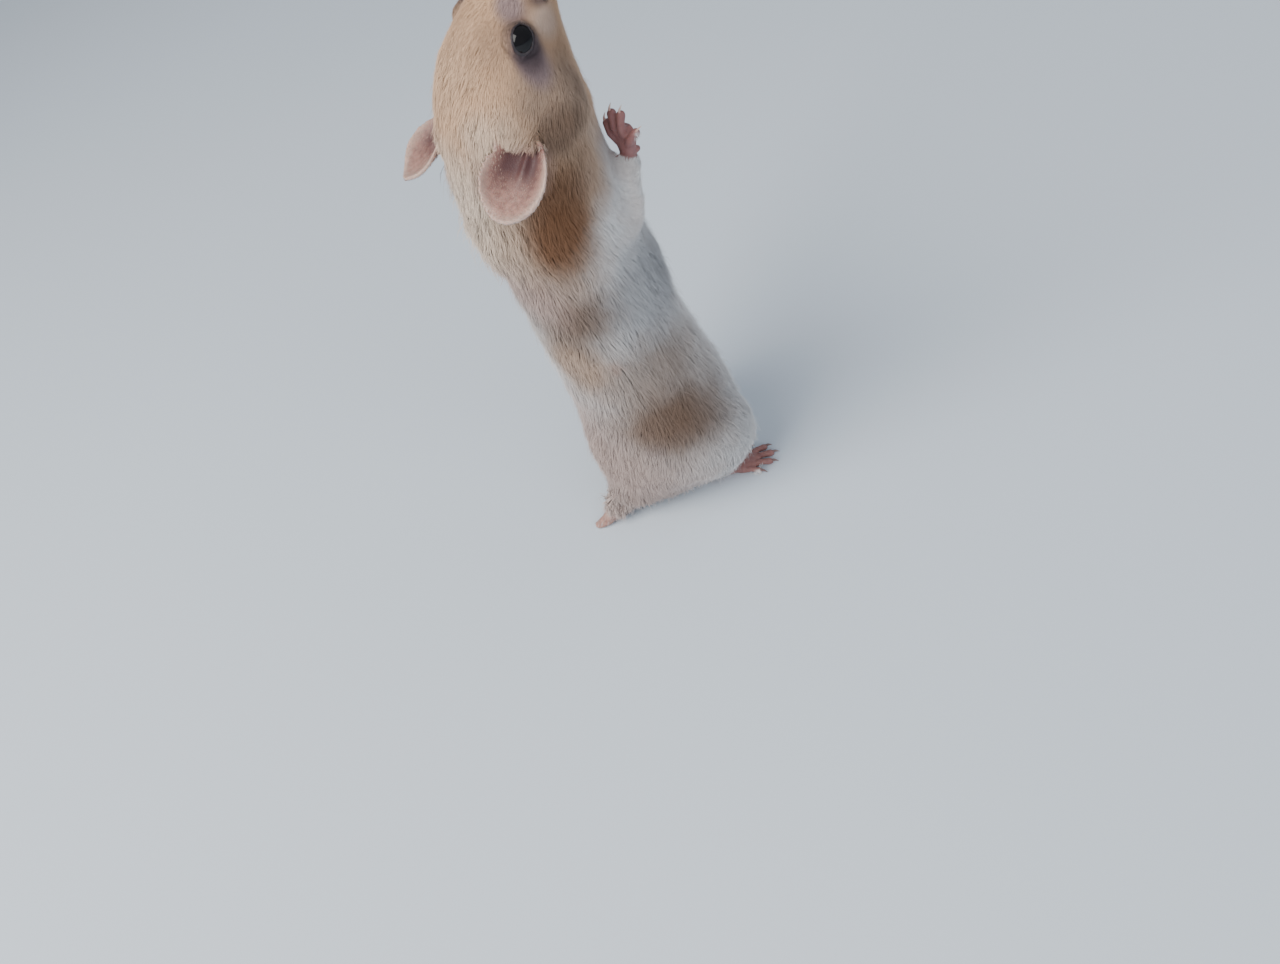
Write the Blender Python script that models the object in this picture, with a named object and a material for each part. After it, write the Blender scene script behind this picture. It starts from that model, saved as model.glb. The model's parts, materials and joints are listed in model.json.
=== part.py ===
"""A life-size Syrian hamster standing upright on its hind feet, as a still museum model.

The animal faces -Y and its right side is at -X. The origin is the floor point under the
middle of its bounding box. The solids reach to the tips of the coat.

The body is modelled whole from lofted tubes and ovals that a voxel remesh fuses, and the
paws from finer ones. Thin cuts then part the whole into the pieces a person would name.
"""

import math

import bmesh
import bpy
from mathutils import Matrix, Vector

MM = 0.001

# Driving dimensions, in millimetres, and angles in degrees.
GAP = 0.3                 # clearance between two pieces that touch
BODY_GRAIN = 0.8          # voxel of the fused body
PAW_GRAIN = 0.36          # voxel of the fused paws
BODY_FACES = 2800
FOREPAW_FACES = 270
HIND_FOOT_FACES = 330
BODY_SMOOTHING = 12
PAW_SMOOTHING = 4
PRESS_DEPTH = 0.35        # what lies lower than this is pressed flat on the floor
EYE_RADIUS = 3.1
EAR_LENGTH = 18.8
EAR_WIDTH = 13.6
EAR_WALL = 1.0
EAR_CUP = 3.4             # how far the rim of an ear stands above its middle
EAR_ROOT_CUP = 1.25       # share of that at the root
EAR_TIP_CUP = 0.35        # share of that at the tip
EAR_OPENING = 0.75        # share of the cup that is lost towards the tip
EAR_ROOT_WIDTH = 0.62     # share of its width that an ear has at its root
EAR_WIDEST = 0.62         # how far along it an ear is widest
HIND_FOOT_TURN = 26       # how far the toes turn out
FOREPAW_LEAN = (-0.02, 0.14, 1.0)    # where the fingers point
FOREPAW_BACK = (0.25, -1.0, 0.0)     # where the back of the hand faces

SIDES = {"right": -1, "left": 1}

# Places are (out from the midline, forward, up), in millimetres.
EYE_PLACE = (9.6, 1.2, 137.3)
EAR_ROOTS = {"right": (13.0, -5.0, 122.8), "left": (11.8, -7.6, 121.0)}
EAR_TIPS = {"right": (19.2, -18.0, 116.2), "left": (11.4, -25.4, 115.4)}
EAR_FACES = {"right": (0.62, -0.55, 0.78), "left": (0.14, -0.66, 0.88)}
NOSE_PLACE = (0.0, 13.6, 151.4)
NOSE_SIZES = (2.0, 1.5, 1.3)
WRIST = (10.3, 13.8, 104.6)
ANKLE_HEEL = (8.4, 3.6, 0.0)

# Rump, trunk, neck and head, from the floor up: (forward, up, half depth, half width).
SPINE = (
    (-4.4, 2.4, 9.0, 7.8),
    (-4.2, 4.0, 14.6, 11.6),
    (-3.6, 7.4, 17.4, 14.4),
    (-1.6, 13.0, 20.8, 18.8),
    (1.4, 24.0, 22.2, 23.6),
    (1.7, 37.0, 20.4, 22.6),
    (0.2, 50.0, 18.9, 20.9),
    (-1.1, 63.0, 18.0, 18.9),
    (-1.2, 76.0, 18.4, 18.2),
    (-2.4, 88.0, 17.4, 16.9),
    (-2.4, 93.5, 16.9, 16.5),
    (-3.9, 99.0, 17.9, 17.2),
    (-3.9, 109.0, 17.0, 16.6),
    (-2.8, 119.0, 16.4, 16.4),
    (0.1, 128.0, 14.8, 15.6),
    (3.8, 134.5, 11.4, 12.3),
    (7.5, 140.2, 7.9, 9.5),
    (10.4, 144.6, 5.6, 7.3),
    (12.7, 148.0, 4.5, 6.1),
    (14.0, 150.2, 3.3, 4.7),
    (14.4, 151.4, 1.9, 2.9),
)
# Fuller places over the spine: (out, forward, up) and half sizes, one on each side.
SWELLINGS = (
    ((8.2, 2.0, 123.5), (9.0, 8.8, 10.6)),      # cheek and its pouch
    ((2.9, 13.8, 147.2), (3.4, 3.5, 3.9)),      # whisker pad
    ((1.2, 14.6, 142.6), (2.6, 2.0, 3.2)),      # chin
    ((3.0, -9.0, 9.2), (9.0, 12.9, 7.2)),       # seat
)
# Each limb runs from the trunk outwards: (out, forward, up, half width, half depth).
THIGH = (
    (9.0, -2.0, 35.0, 12.0, 13.0),
    (13.6, 4.2, 25.0, 12.0, 16.0),
    (14.6, 8.8, 16.5, 9.4, 13.0),
    (13.2, 9.6, 10.0, 6.6, 8.8),
)
SHANK = (
    (13.2, 9.6, 10.0, 6.0, 7.4),
    (11.4, 6.6, 7.0, 5.2, 5.6),
    (9.4, 3.2, 5.8, 4.4, 4.6),
    (8.2, 1.0, 5.2, 3.4, 3.4),
)
FORELEG = (
    (6.0, -2.0, 104.0, 7.5, 8.0),
    (10.2, 0.8, 98.5, 6.4, 6.8),
    (12.2, 4.0, 93.6, 4.8, 4.8),
    (12.6, 6.8, 92.4, 4.1, 4.2),
    (12.4, 9.2, 95.0, 3.7, 3.7),
    (11.6, 11.2, 99.4, 3.1, 3.0),
    (10.8, 12.8, 103.2, 2.7, 2.5),
    (10.4, 13.8, 106.0, 2.4, 2.2),
)
TAIL = (
    (0.0, -13.0, 12.0, 8.0, 8.0),
    (0.0, -19.5, 6.4, 5.2, 4.8),
    (0.3, -22.8, 3.9, 3.2, 3.0),
    (0.9, -25.4, 1.9, 2.3, 2.1),
    (1.7, -27.6, 0.8, 1.8, 1.6),
    (2.7, -29.6, 0.6, 1.0, 1.1),
)
# Paws lie along their own Y from the heel or wrist, with their back up.
SOLE = (
    (0.0, -2.6, 2.4, 1.8, 1.9),
    (0.0, 0.0, 2.0, 2.7, 2.6),
    (0.0, 6.0, 1.6, 2.8, 2.2),
    (0.0, 11.0, 1.5, 3.4, 2.0),
    (0.0, 14.5, 1.2, 3.2, 1.6),
    (0.0, 16.0, 1.0, 2.6, 1.2),
)
ANKLE = (
    (0.0, 0.0, 1.8, 2.4, 2.4),
    (0.3, 1.0, 4.4, 2.6, 2.6),
    (0.8, 3.2, 7.2, 2.6, 2.6),
)
PALM = (
    (0.0, -1.8, 0.0, 2.1, 1.9),
    (0.0, 0.8, 0.1, 2.1, 1.7),
    (0.0, 3.4, 0.1, 2.9, 1.7),
    (0.0, 5.6, 0.0, 2.9, 1.5),
    (0.0, 6.8, 0.0, 2.2, 1.1),
)
# Digits: (out, along, spread in degrees, length, radius).
TOES = (
    (-2.6, 11.0, -26, 4.2, 0.95),
    (-1.9, 14.0, -11, 5.4, 1.05),
    (0.0, 14.8, 0, 5.8, 1.1),
    (1.9, 14.2, 11, 5.4, 1.05),
    (2.9, 11.6, 28, 4.6, 0.95),
)
FINGERS = (
    (2.1, 4.6, 22, 3.5, 1.0),
    (0.8, 6.0, 7, 4.3, 1.05),
    (-0.9, 6.0, -6, 4.3, 1.05),
    (-2.2, 4.0, -44, 4.0, 1.0),
)
# Along a digit: (share of its length, height, share of its radius).
DIGIT_SHAPE = (
    (-0.45, 0.5, 1.0), (0.0, 1.1, 1.0), (0.45, 1.5, 0.9), (0.8, 1.2, 1.0), (1.0, 0.9, 0.7),
)
# Along a claw: (millimetres past the digit's end, height, share of its radius).
CLAW_SHAPE = ((-0.9, 1.3, 1.0), (0.0, 1.35, 1.0), (0.93, 1.05, 0.65), (1.7, 0.45, 0.2))
CLAW_RADIUS = 0.42

# Where the body parts: (piece, finish, a point of the cut, way to the piece, cut's radius).
CUTS_ON_EACH_SIDE = (
    ("hind_leg", "white_coat", (19.0, 0.0, 22.0), (0.95, 0.0, -0.31), 60),
    ("foreleg", "white_coat", (12.8, 10.0, 97.0), (0.65, 0.76, 0.0), 11),
)
CUTS_IN_THE_MIDDLE = (
    ("tail", "pink_skin", (0.0, -22.5, 5.0), (0.0, -0.9, -0.45), 9),
    ("head", "apricot_coat", (0.0, 1.5, 113.0), (0.0, -0.28, 0.96), 40),
    ("neck", "brown_coat", (0.0, 3.0, 100.0), (0.0, -0.12, 0.99), 40),
    ("chest", "white_coat", (0.0, 0.0, 72.0), (0.0, 0.0, 1.0), 40),
    ("belly", "white_coat", (0.0, 0.0, 42.0), (0.0, 0.0, 1.0), 40),
)

COLOURS = {
    "apricot_coat": (0.80, 0.60, 0.42),
    "white_coat": (0.86, 0.82, 0.78),
    "brown_coat": (0.62, 0.42, 0.26),
    "pink_skin": (0.78, 0.48, 0.42),
    "dark_eye": (0.02, 0.015, 0.015),
}
ROUGHNESS = {
    "apricot_coat": 0.9,
    "white_coat": 0.9,
    "brown_coat": 0.9,
    "pink_skin": 0.6,
    "dark_eye": 0.08,
}


def at(side, place):
    """A point in metres from (out, forward, up); side is -1 for right and 1 for left."""
    out, forward, up = place
    return Vector((side * out, -forward, up)) * MM


def spline(stations, steps):
    """Rows along a smooth curve through the stations, steps rows to each span."""
    rows = []
    last = len(stations) - 1
    for i in range(last):
        before = stations[max(i - 1, 0)]
        after = stations[min(i + 2, last)]
        for k in range(steps):
            t = k / steps
            rows.append(tuple(
                0.5 * (2 * b + (c - a) * t + (2 * a - 5 * b + 4 * c - d) * t ** 2
                       + (3 * b - a - 3 * c + d) * t ** 3)
                for a, b, c, d in zip(before, stations[i], stations[i + 1], after)
            ))
    rows.append(tuple(stations[last]))
    return rows


def loft(bm, centres, sizes, side_axis, segments):
    """Adds a closed tube of oval rings: (half width along side_axis, half depth)."""
    rings = []
    for i, centre in enumerate(centres):
        ahead = centres[min(i + 1, len(centres) - 1)]
        behind = centres[max(i - 1, 0)]
        along = (ahead - behind).normalized()
        side = (side_axis - side_axis.dot(along) * along).normalized()
        half_width, half_depth = sizes[i]
        columns = (side * half_width, along.cross(side) * half_depth, along)
        place = Matrix(columns).transposed().to_4x4()
        place.translation = centre
        ring = bmesh.ops.create_circle(bm, segments=segments, radius=1.0, matrix=place)
        rings.append(list({edge for vert in ring["verts"] for edge in vert.link_edges}))
    bmesh.ops.edgenet_fill(bm, edges=rings[0])
    bmesh.ops.edgenet_fill(bm, edges=rings[-1])
    for lower, upper in zip(rings, rings[1:]):
        bmesh.ops.bridge_loops(bm, edges=lower + upper)


def tube(bm, stations, side_axis, place=None, steps=4, segments=18):
    """A loft through (point, half width, half depth) stations, all in millimetres."""
    rows = spline(stations, steps)
    to_metres = Matrix.Scale(MM, 4) if place is None else place @ Matrix.Scale(MM, 4)
    centres = [to_metres @ Vector(row[:3]) for row in rows]
    sizes = [(row[3] * MM, row[4] * MM) for row in rows]
    loft(bm, centres, sizes, side_axis, segments)


def limb(bm, side, stations):
    """A tube whose stations are (out, forward, up, half width, half depth)."""
    rows = [(side * out, -forward, up, w, d) for out, forward, up, w, d in stations]
    tube(bm, rows, Vector((1, 0, 0)))


def oval(bm, centre, half_sizes):
    """An upright ellipsoid; its half sizes (out, forward, up) are in millimetres."""
    place = Matrix.Diagonal((*[size * MM for size in half_sizes], 1.0))
    place.translation = centre
    bmesh.ops.create_uvsphere(bm, u_segments=14, v_segments=8, radius=1.0, matrix=place)


def make_object(name, bm, finish):
    """A named object from a bmesh, closed outwards and shaded smooth."""
    bmesh.ops.recalc_face_normals(bm, faces=bm.faces)
    if bm.calc_volume(signed=True) < 0.0:
        bmesh.ops.reverse_faces(bm, faces=bm.faces)
    mesh = bpy.data.meshes.new(name)
    bm.to_mesh(mesh)
    bm.free()
    mesh.shade_smooth()
    obj = bpy.data.objects.new(name, mesh)
    obj.data.materials.append(bpy.data.materials[finish])
    bpy.context.collection.objects.link(obj)
    return obj


def make_finishes():
    """One Principled material for each named colour."""
    for name, colour in COLOURS.items():
        material = bpy.data.materials.new(name)
        material.use_nodes = True
        shader = material.node_tree.nodes["Principled BSDF"]
        shader.inputs["Base Color"].default_value = (*colour, 1.0)
        shader.inputs["Roughness"].default_value = ROUGHNESS[name]
        shader.inputs["Metallic"].default_value = 0.0


def settle(obj):
    """Replaces an object's mesh with what its modifiers make of it."""
    graph = bpy.context.evaluated_depsgraph_get()
    mesh = bpy.data.meshes.new_from_object(obj.evaluated_get(graph))
    obj.modifiers.clear()
    obj.data = mesh


def fuse(obj, grain, rounds, triangles):
    """Fuses overlapping shapes into one smooth skin of about so many triangles."""
    remesh = obj.modifiers.new("Fuse", "REMESH")
    remesh.mode = "VOXEL"
    remesh.voxel_size = grain * MM
    relax = obj.modifiers.new("Relax", "SMOOTH")
    relax.factor = 0.5
    relax.iterations = rounds
    settle(obj)
    thin = obj.modifiers.new("Thin", "DECIMATE")
    thin.ratio = triangles / (2 * len(obj.data.polygons))
    settle(obj)


def press_flat(obj):
    """Presses what reaches the floor onto it, so that it stands on real flats."""
    for vert in obj.data.vertices:
        if vert.co.z < PRESS_DEPTH * MM:
            vert.co.z = 0.0
    obj.data.update()


def islands(bm):
    """The sets of connected vertices, the largest first."""
    left = set(bm.verts)
    found = []
    for start in bm.verts:
        if start not in left:
            continue
        left.remove(start)
        island = {start}
        frontier = [start]
        while frontier:
            vert = frontier.pop()
            for edge in vert.link_edges:
                other = edge.other_vert(vert)
                if other in left:
                    left.remove(other)
                    island.add(other)
                    frontier.append(other)
        found.append(island)
    return sorted(found, key=len, reverse=True)


def keep_island(mesh, wanted):
    """Strips a mesh down to the island of that rank."""
    bm = bmesh.new()
    bm.from_mesh(mesh)
    keep = islands(bm)[wanted]
    bmesh.ops.delete(bm, geom=[v for v in bm.verts if v not in keep], context="VERTS")
    bm.to_mesh(mesh)
    bm.free()


def subtract(obj, cutter):
    """Cuts the cutter's shape out of an object, then throws the cutter away."""
    cut = obj.modifiers.new("Cut", "BOOLEAN")
    cut.operation = "DIFFERENCE"
    cut.solver = "EXACT"
    cut.object = cutter
    settle(obj)
    bpy.data.objects.remove(cutter)


def make_pocket(body, piece):
    """Clears room in the body for a piece set into it, with the gap all round."""
    cutter = bpy.data.objects.new("pocket", piece.data.copy())
    bpy.context.collection.objects.link(cutter)
    swell = cutter.modifiers.new("Swell", "DISPLACE")
    swell.direction = "NORMAL"
    swell.mid_level = 0.0
    swell.strength = GAP * MM
    subtract(body, cutter)
    keep_island(body.data, 0)


def part_off(body, name, finish, point, normal, radius):
    """Parts a piece off the body with a thin round cut, on the side the normal points to."""
    place = normal.to_track_quat("Z", "Y").to_matrix().to_4x4()
    place.translation = point
    bm = bmesh.new()
    bmesh.ops.create_cone(
        bm, cap_ends=True, segments=48, radius1=radius * MM, radius2=radius * MM,
        depth=GAP * MM, matrix=place)
    subtract(body, make_object("cut", bm, finish))
    bm = bmesh.new()
    bm.from_mesh(body.data)
    reach = [
        sum(((v.co - point).dot(normal) for v in island), 0.0) / len(island)
        for island in islands(bm)[:2]
    ]
    bm.free()
    off = 0 if reach[0] > reach[1] else 1
    piece = bpy.data.objects.new(name, body.data.copy())
    bpy.context.collection.objects.link(piece)
    piece.data.materials.clear()
    piece.data.materials.append(bpy.data.materials[finish])
    keep_island(piece.data, off)
    keep_island(body.data, 1 - off)
    return piece


def make_eye(side, label):
    """A round eye, set into its socket later."""
    bm = bmesh.new()
    place = Matrix.Translation(at(side, EYE_PLACE))
    bmesh.ops.create_uvsphere(
        bm, u_segments=14, v_segments=8, radius=EYE_RADIUS * MM, matrix=place)
    return make_object("eye_" + label, bm, "dark_eye")


def make_nose():
    """The bare pad at the tip of the muzzle."""
    bm = bmesh.new()
    oval(bm, at(1, NOSE_PLACE), NOSE_SIZES)
    return make_object("nose", bm, "pink_skin")


def make_ear(side, label):
    """A thin oval cup folded back from the head, open to the outside and above."""
    root, tip = at(side, EAR_ROOTS[label]), at(side, EAR_TIPS[label])
    along = (tip - root).normalized()
    facing = at(side, EAR_FACES[label])
    facing = (facing - facing.dot(along) * along).normalized()
    across = along.cross(facing)
    bm = bmesh.new()
    bmesh.ops.create_grid(bm, x_segments=7, y_segments=7, size=1.0)
    for vert in bm.verts:
        a, b = vert.co.x, vert.co.y
        x = a * math.sqrt(1 - b * b / 2)
        y = b * math.sqrt(1 - a * a / 2)
        reach = (1 + y) / 2
        swell = math.sin(math.pi * min(reach / EAR_WIDEST, 1.0) / 2)
        width = EAR_WIDTH / 2 * x * (EAR_ROOT_WIDTH + (1 - EAR_ROOT_WIDTH) * swell)
        hollow = EAR_ROOT_CUP - EAR_OPENING * reach
        cup = EAR_CUP * (x * x * hollow + EAR_TIP_CUP * y * y)
        vert.co = root + (along * (reach * EAR_LENGTH) + across * width + facing * cup) * MM
    bmesh.ops.solidify(bm, geom=bm.verts[:] + bm.edges[:] + bm.faces[:],
                       thickness=EAR_WALL * MM)
    return make_object("ear_" + label, bm, "pink_skin")


def make_paw(name, place, stumps, digits, triangles):
    """A paw of lofted stumps and digits, with a curved claw on each digit.

    place carries the paw's own frame, out along +X for either side, to its leg.
    """
    side_axis = place.to_3x3() @ Vector((1, 0, 0))
    flesh, claws = bmesh.new(), bmesh.new()
    for stump in stumps:
        tube(flesh, stump, side_axis, place)
    for out, along, spread, length, radius in digits:
        turn = math.radians(spread)
        lean_out, lean_on = math.sin(turn), math.cos(turn)
        digit = [
            (out + lean_out * length * reach, along + lean_on * length * reach, up,
             radius * share, radius * share)
            for reach, up, share in DIGIT_SHAPE
        ]
        tube(flesh, digit, side_axis, place, steps=2, segments=10)
        claw = [
            (out + lean_out * (length + reach), along + lean_on * (length + reach), up,
             CLAW_RADIUS * share, CLAW_RADIUS * share)
            for reach, up, share in CLAW_SHAPE
        ]
        tube(claws, claw, side_axis, place, steps=1, segments=5)
    paw = make_object(name, flesh, "pink_skin")
    fuse(paw, PAW_GRAIN, PAW_SMOOTHING, triangles)
    growth = make_object("claws", claws, "pink_skin")
    union = paw.modifiers.new("Claws", "BOOLEAN")
    union.operation = "UNION"
    union.solver = "EXACT"
    union.object = growth
    settle(paw)
    bpy.data.objects.remove(growth)
    return paw


def make_hind_foot(side, label):
    """A hind foot flat on the floor, heel and all."""
    turn = Matrix.Rotation(side * math.radians(HIND_FOOT_TURN), 4, "Z")
    forward = Matrix(((side, 0, 0), (0, -1, 0), (0, 0, 1))).to_4x4()
    place = Matrix.Translation(at(side, ANKLE_HEEL)) @ turn @ forward
    foot = make_paw(
        "hind_foot_" + label, place, (SOLE, ANKLE), TOES, HIND_FOOT_FACES)
    press_flat(foot)
    return foot


def make_forepaw(side, label):
    """A raised forepaw, its palm towards the front and its fingers up."""
    along = at(side, FOREPAW_LEAN).normalized()
    back = at(side, FOREPAW_BACK)
    back = (back - back.dot(along) * along).normalized()
    out = along.cross(back) if side > 0 else back.cross(along)
    place = Matrix((out, along, back)).transposed().to_4x4()
    place.translation = at(side, WRIST)
    return make_paw("forepaw_" + label, place, (PALM,), FINGERS, FOREPAW_FACES)


def make_body():
    """Trunk, head, legs and tail as one fused shape."""
    bm = bmesh.new()
    trunk = [(0.0, -forward, up, width, depth) for forward, up, depth, width in SPINE]
    tube(bm, trunk, Vector((1, 0, 0)), steps=3, segments=32)
    limb(bm, 1, TAIL)
    for side in SIDES.values():
        for stations in (THIGH, SHANK, FORELEG):
            limb(bm, side, stations)
        for centre, half_sizes in SWELLINGS:
            oval(bm, at(side, centre), half_sizes)
    body = make_object("rump", bm, "white_coat")
    fuse(body, BODY_GRAIN, BODY_SMOOTHING, BODY_FACES)
    press_flat(body)
    return body


def part_body(body):
    """Cuts legs, tail, head, neck and chest off the body; what is left is the rump."""
    for label, side in SIDES.items():
        for name, finish, point, way, radius in CUTS_ON_EACH_SIDE:
            part_off(body, name + "_" + label, finish,
                     at(side, point), at(side, way).normalized(), radius)
    for name, finish, point, way, radius in CUTS_IN_THE_MIDDLE:
        part_off(body, name, finish, at(1, point), at(1, way).normalized(), radius)


def centre_on_floor():
    """Moves everything so that the origin is under the middle of the bounding box."""
    corners = [v.co for obj in bpy.data.objects for v in obj.data.vertices]
    middle = [(min(c[i] for c in corners) + max(c[i] for c in corners)) / 2 for i in (0, 1)]
    shift = Matrix.Translation((-middle[0], -middle[1], 0.0))
    for obj in bpy.data.objects:
        obj.data.transform(shift)


def main():
    """Builds the hamster in an empty scene."""
    for obj in list(bpy.data.objects):
        bpy.data.objects.remove(obj)
    make_finishes()
    pieces = [make_nose()]
    for label, side in SIDES.items():
        for make in (make_eye, make_ear, make_forepaw, make_hind_foot):
            pieces.append(make(side, label))
    body = make_body()
    for piece in pieces:
        make_pocket(body, piece)
    part_body(body)
    centre_on_floor()


if __name__ == "__main__":
    main()
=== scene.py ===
"""The looks of a life-size Syrian hamster that stands upright and sniffs the air.

One skin lies under the coat, with lids, lips, cupped ears and padded feet. Locks of solid
fur lie over it from the muzzle down to the tail. The eyes, claws and whiskers are pieces
of their own.

A place on the animal is (out from the midline, forward, up), in millimetres.
"""

import json
import logging
import math
from collections.abc import Iterable, Sequence
from dataclasses import dataclass, field
from enum import Enum

import bmesh
import bpy
import numpy as np
from bmesh.types import BMEdge, BMesh
from bpy.types import Material, Mesh, Object
from mathutils import Matrix, Vector
from mathutils.bvhtree import BVHTree
from mathutils.kdtree import KDTree

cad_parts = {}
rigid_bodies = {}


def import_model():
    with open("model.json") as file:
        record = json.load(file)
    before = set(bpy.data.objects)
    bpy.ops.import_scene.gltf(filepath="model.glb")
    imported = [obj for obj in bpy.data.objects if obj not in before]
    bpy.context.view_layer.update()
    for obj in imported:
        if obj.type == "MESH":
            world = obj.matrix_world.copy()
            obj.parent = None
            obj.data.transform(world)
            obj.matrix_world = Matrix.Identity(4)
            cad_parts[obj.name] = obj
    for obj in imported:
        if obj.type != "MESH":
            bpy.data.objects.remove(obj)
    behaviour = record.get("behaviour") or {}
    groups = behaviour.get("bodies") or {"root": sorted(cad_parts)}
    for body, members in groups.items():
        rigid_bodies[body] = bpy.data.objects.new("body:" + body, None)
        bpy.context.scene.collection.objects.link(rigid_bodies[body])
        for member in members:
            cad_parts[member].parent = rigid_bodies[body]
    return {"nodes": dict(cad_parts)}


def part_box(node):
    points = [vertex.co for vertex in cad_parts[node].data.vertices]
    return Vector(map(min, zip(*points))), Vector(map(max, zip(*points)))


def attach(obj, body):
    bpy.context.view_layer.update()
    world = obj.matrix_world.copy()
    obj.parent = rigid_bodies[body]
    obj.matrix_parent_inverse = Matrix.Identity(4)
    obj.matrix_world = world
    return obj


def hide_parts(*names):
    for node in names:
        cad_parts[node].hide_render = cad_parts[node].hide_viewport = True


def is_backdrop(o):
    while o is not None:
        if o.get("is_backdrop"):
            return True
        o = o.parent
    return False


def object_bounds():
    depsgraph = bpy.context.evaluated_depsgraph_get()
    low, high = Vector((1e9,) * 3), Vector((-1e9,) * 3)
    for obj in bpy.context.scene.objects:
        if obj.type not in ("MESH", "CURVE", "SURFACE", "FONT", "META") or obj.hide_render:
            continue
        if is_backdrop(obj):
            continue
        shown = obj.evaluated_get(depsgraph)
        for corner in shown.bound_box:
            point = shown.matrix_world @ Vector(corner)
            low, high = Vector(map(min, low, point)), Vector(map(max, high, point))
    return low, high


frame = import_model()

log = logging.getLogger("hamster")

MM = 0.001
BODY = "root"
SEED = 7

Place = tuple[float, float, float]


class Side(Enum):
    """The two sides of the animal, with the sign that X has there."""

    RIGHT = -1
    LEFT = 1

    @property
    def label(self) -> str:
        """The side's name as node and piece names end."""
        return self.name.lower()


# ---- Places and smooth curves --------------------------------------------------------

EYE_FORWARD = 1.2         # how far the middle of an eye is in front of the body's own middle


def body_middle() -> float:
    """The Y of the body's own middle, found from the eyes of the frame."""
    low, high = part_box("eye_right")
    return (low.y + high.y) / 2 + EYE_FORWARD * MM


MIDDLE = body_middle()
# The body's own frame: left, backward and up from its middle, in millimetres.
ON_BODY = Matrix.Translation((0.0, MIDDLE, 0.0)) @ Matrix.Scale(MM, 4)


def at(side: Side | int, place: Sequence[float]) -> Vector:
    """A point of the frame, in metres.

    Args:
        side: The side that the place is on, or its sign.
        place: Out, forward and up, in millimetres.

    Returns:
        The point, in metres.
    """
    sign = side.value if isinstance(side, Side) else side
    out, forward, up = place
    return Vector((sign * out * MM, MIDDLE - forward * MM, up * MM))


def heading(side: Side | int, way: Sequence[float]) -> Vector:
    """A direction of the frame from (out, forward, up), as a unit vector."""
    sign = side.value if isinstance(side, Side) else side
    out, forward, up = way
    return Vector((sign * out, -forward, up)).normalized()


def spline(stations: Sequence[Sequence[float]], steps: int) -> list[tuple[float, ...]]:
    """Rows along a smooth curve through the stations.

    Args:
        stations: Rows of numbers that the curve passes through.
        steps: How many rows each span is divided into.

    Returns:
        The rows, the last station among them.
    """
    last = len(stations) - 1
    rows = []
    for i in range(last):
        before, after = stations[max(i - 1, 0)], stations[min(i + 2, last)]
        for k in range(steps):
            t = k / steps
            rows.append(tuple(
                0.5 * (2 * b + (c - a) * t + (2 * a - 5 * b + 4 * c - d) * t ** 2
                       + (3 * b - a - 3 * c + d) * t ** 3)
                for a, b, c, d in zip(before, stations[i], stations[i + 1], after)
            ))
    rows.append(tuple(stations[last]))
    return rows


def smoothstep(low: float, high: float, value: np.ndarray) -> np.ndarray:
    """A soft step from 0 at low to 1 at high."""
    t = np.clip((value - low) / (high - low), 0.0, 1.0)
    return t * t * (3.0 - 2.0 * t)


def to_segment(points: np.ndarray, start: Vector, end: Vector) -> np.ndarray:
    """The distance of each point from the straight line between two places.

    Args:
        points: Places, in metres.
        start: One end of the line.
        end: The other end.

    Returns:
        One distance for each point, in metres.
    """
    a, b = np.array(start), np.array(end)
    run = b - a
    share = np.clip(((points - a) @ run) / max(float(run @ run), 1e-12), 0.0, 1.0)
    return np.linalg.norm(points - a - share[:, None] * run, axis=1)


def unit(ways: np.ndarray) -> np.ndarray:
    """Directions of length 1, one a row."""
    return ways / np.maximum(np.linalg.norm(ways, axis=1), 1e-20)[:, None]


def to_route(points: np.ndarray, route: Sequence[Vector]) -> np.ndarray:
    """The distance of each point from a line through several places."""
    spans = [to_segment(points, a, b) for a, b in zip(route, route[1:])]
    return np.min(spans, axis=0)


def wander(points: np.ndarray, wave: float, seed: int) -> np.ndarray:
    """A slow random sway over space, from about -1 to 1.

    Args:
        points: Where it is wanted, in metres.
        wave: The length of its waves, in millimetres.
        seed: Which sway it is.

    Returns:
        One number for each point.
    """
    draw = np.random.default_rng(seed)
    total = np.zeros(len(points))
    for _ in range(6):
        way = draw.normal(size=3)
        way *= 2 * math.pi / (wave * MM * draw.uniform(0.7, 1.5)) / np.linalg.norm(way)
        total += np.sin(points @ way + draw.uniform(0, 2 * math.pi))
    return total / 3.0


# ---- Shapes --------------------------------------------------------------------------


def loft(bm: BMesh, rows: Sequence[Sequence[float]], side_axis: Vector,
         place: Matrix, segments: int) -> None:
    """Adds a closed tube of oval rings.

    Args:
        bm: The mesh that it is added to.
        rows: A ring each: its middle, half width along side_axis and half depth.
        side_axis: The way in which a ring is half width wide.
        place: The frame that the rows are in.
        segments: How many corners a ring has.
    """
    centres = [place @ Vector(row[:3]) for row in rows]
    scale = place.to_scale().x
    rings = []
    for i, centre in enumerate(centres):
        ahead = centres[min(i + 1, len(centres) - 1)]
        behind = centres[max(i - 1, 0)]
        along = (ahead - behind).normalized()
        side = (side_axis - side_axis.dot(along) * along).normalized()
        columns = (side * rows[i][3] * scale, along.cross(side) * rows[i][4] * scale, along)
        turn = Matrix(columns).transposed().to_4x4()
        turn.translation = centre
        ring = bmesh.ops.create_circle(bm, segments=segments, radius=1.0, matrix=turn)
        rings.append(list({edge for vert in ring["verts"] for edge in vert.link_edges}))
    bmesh.ops.edgenet_fill(bm, edges=rings[0])
    bmesh.ops.edgenet_fill(bm, edges=rings[-1])
    for lower, upper in zip(rings, rings[1:]):
        bmesh.ops.bridge_loops(bm, edges=lower + upper)


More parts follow.
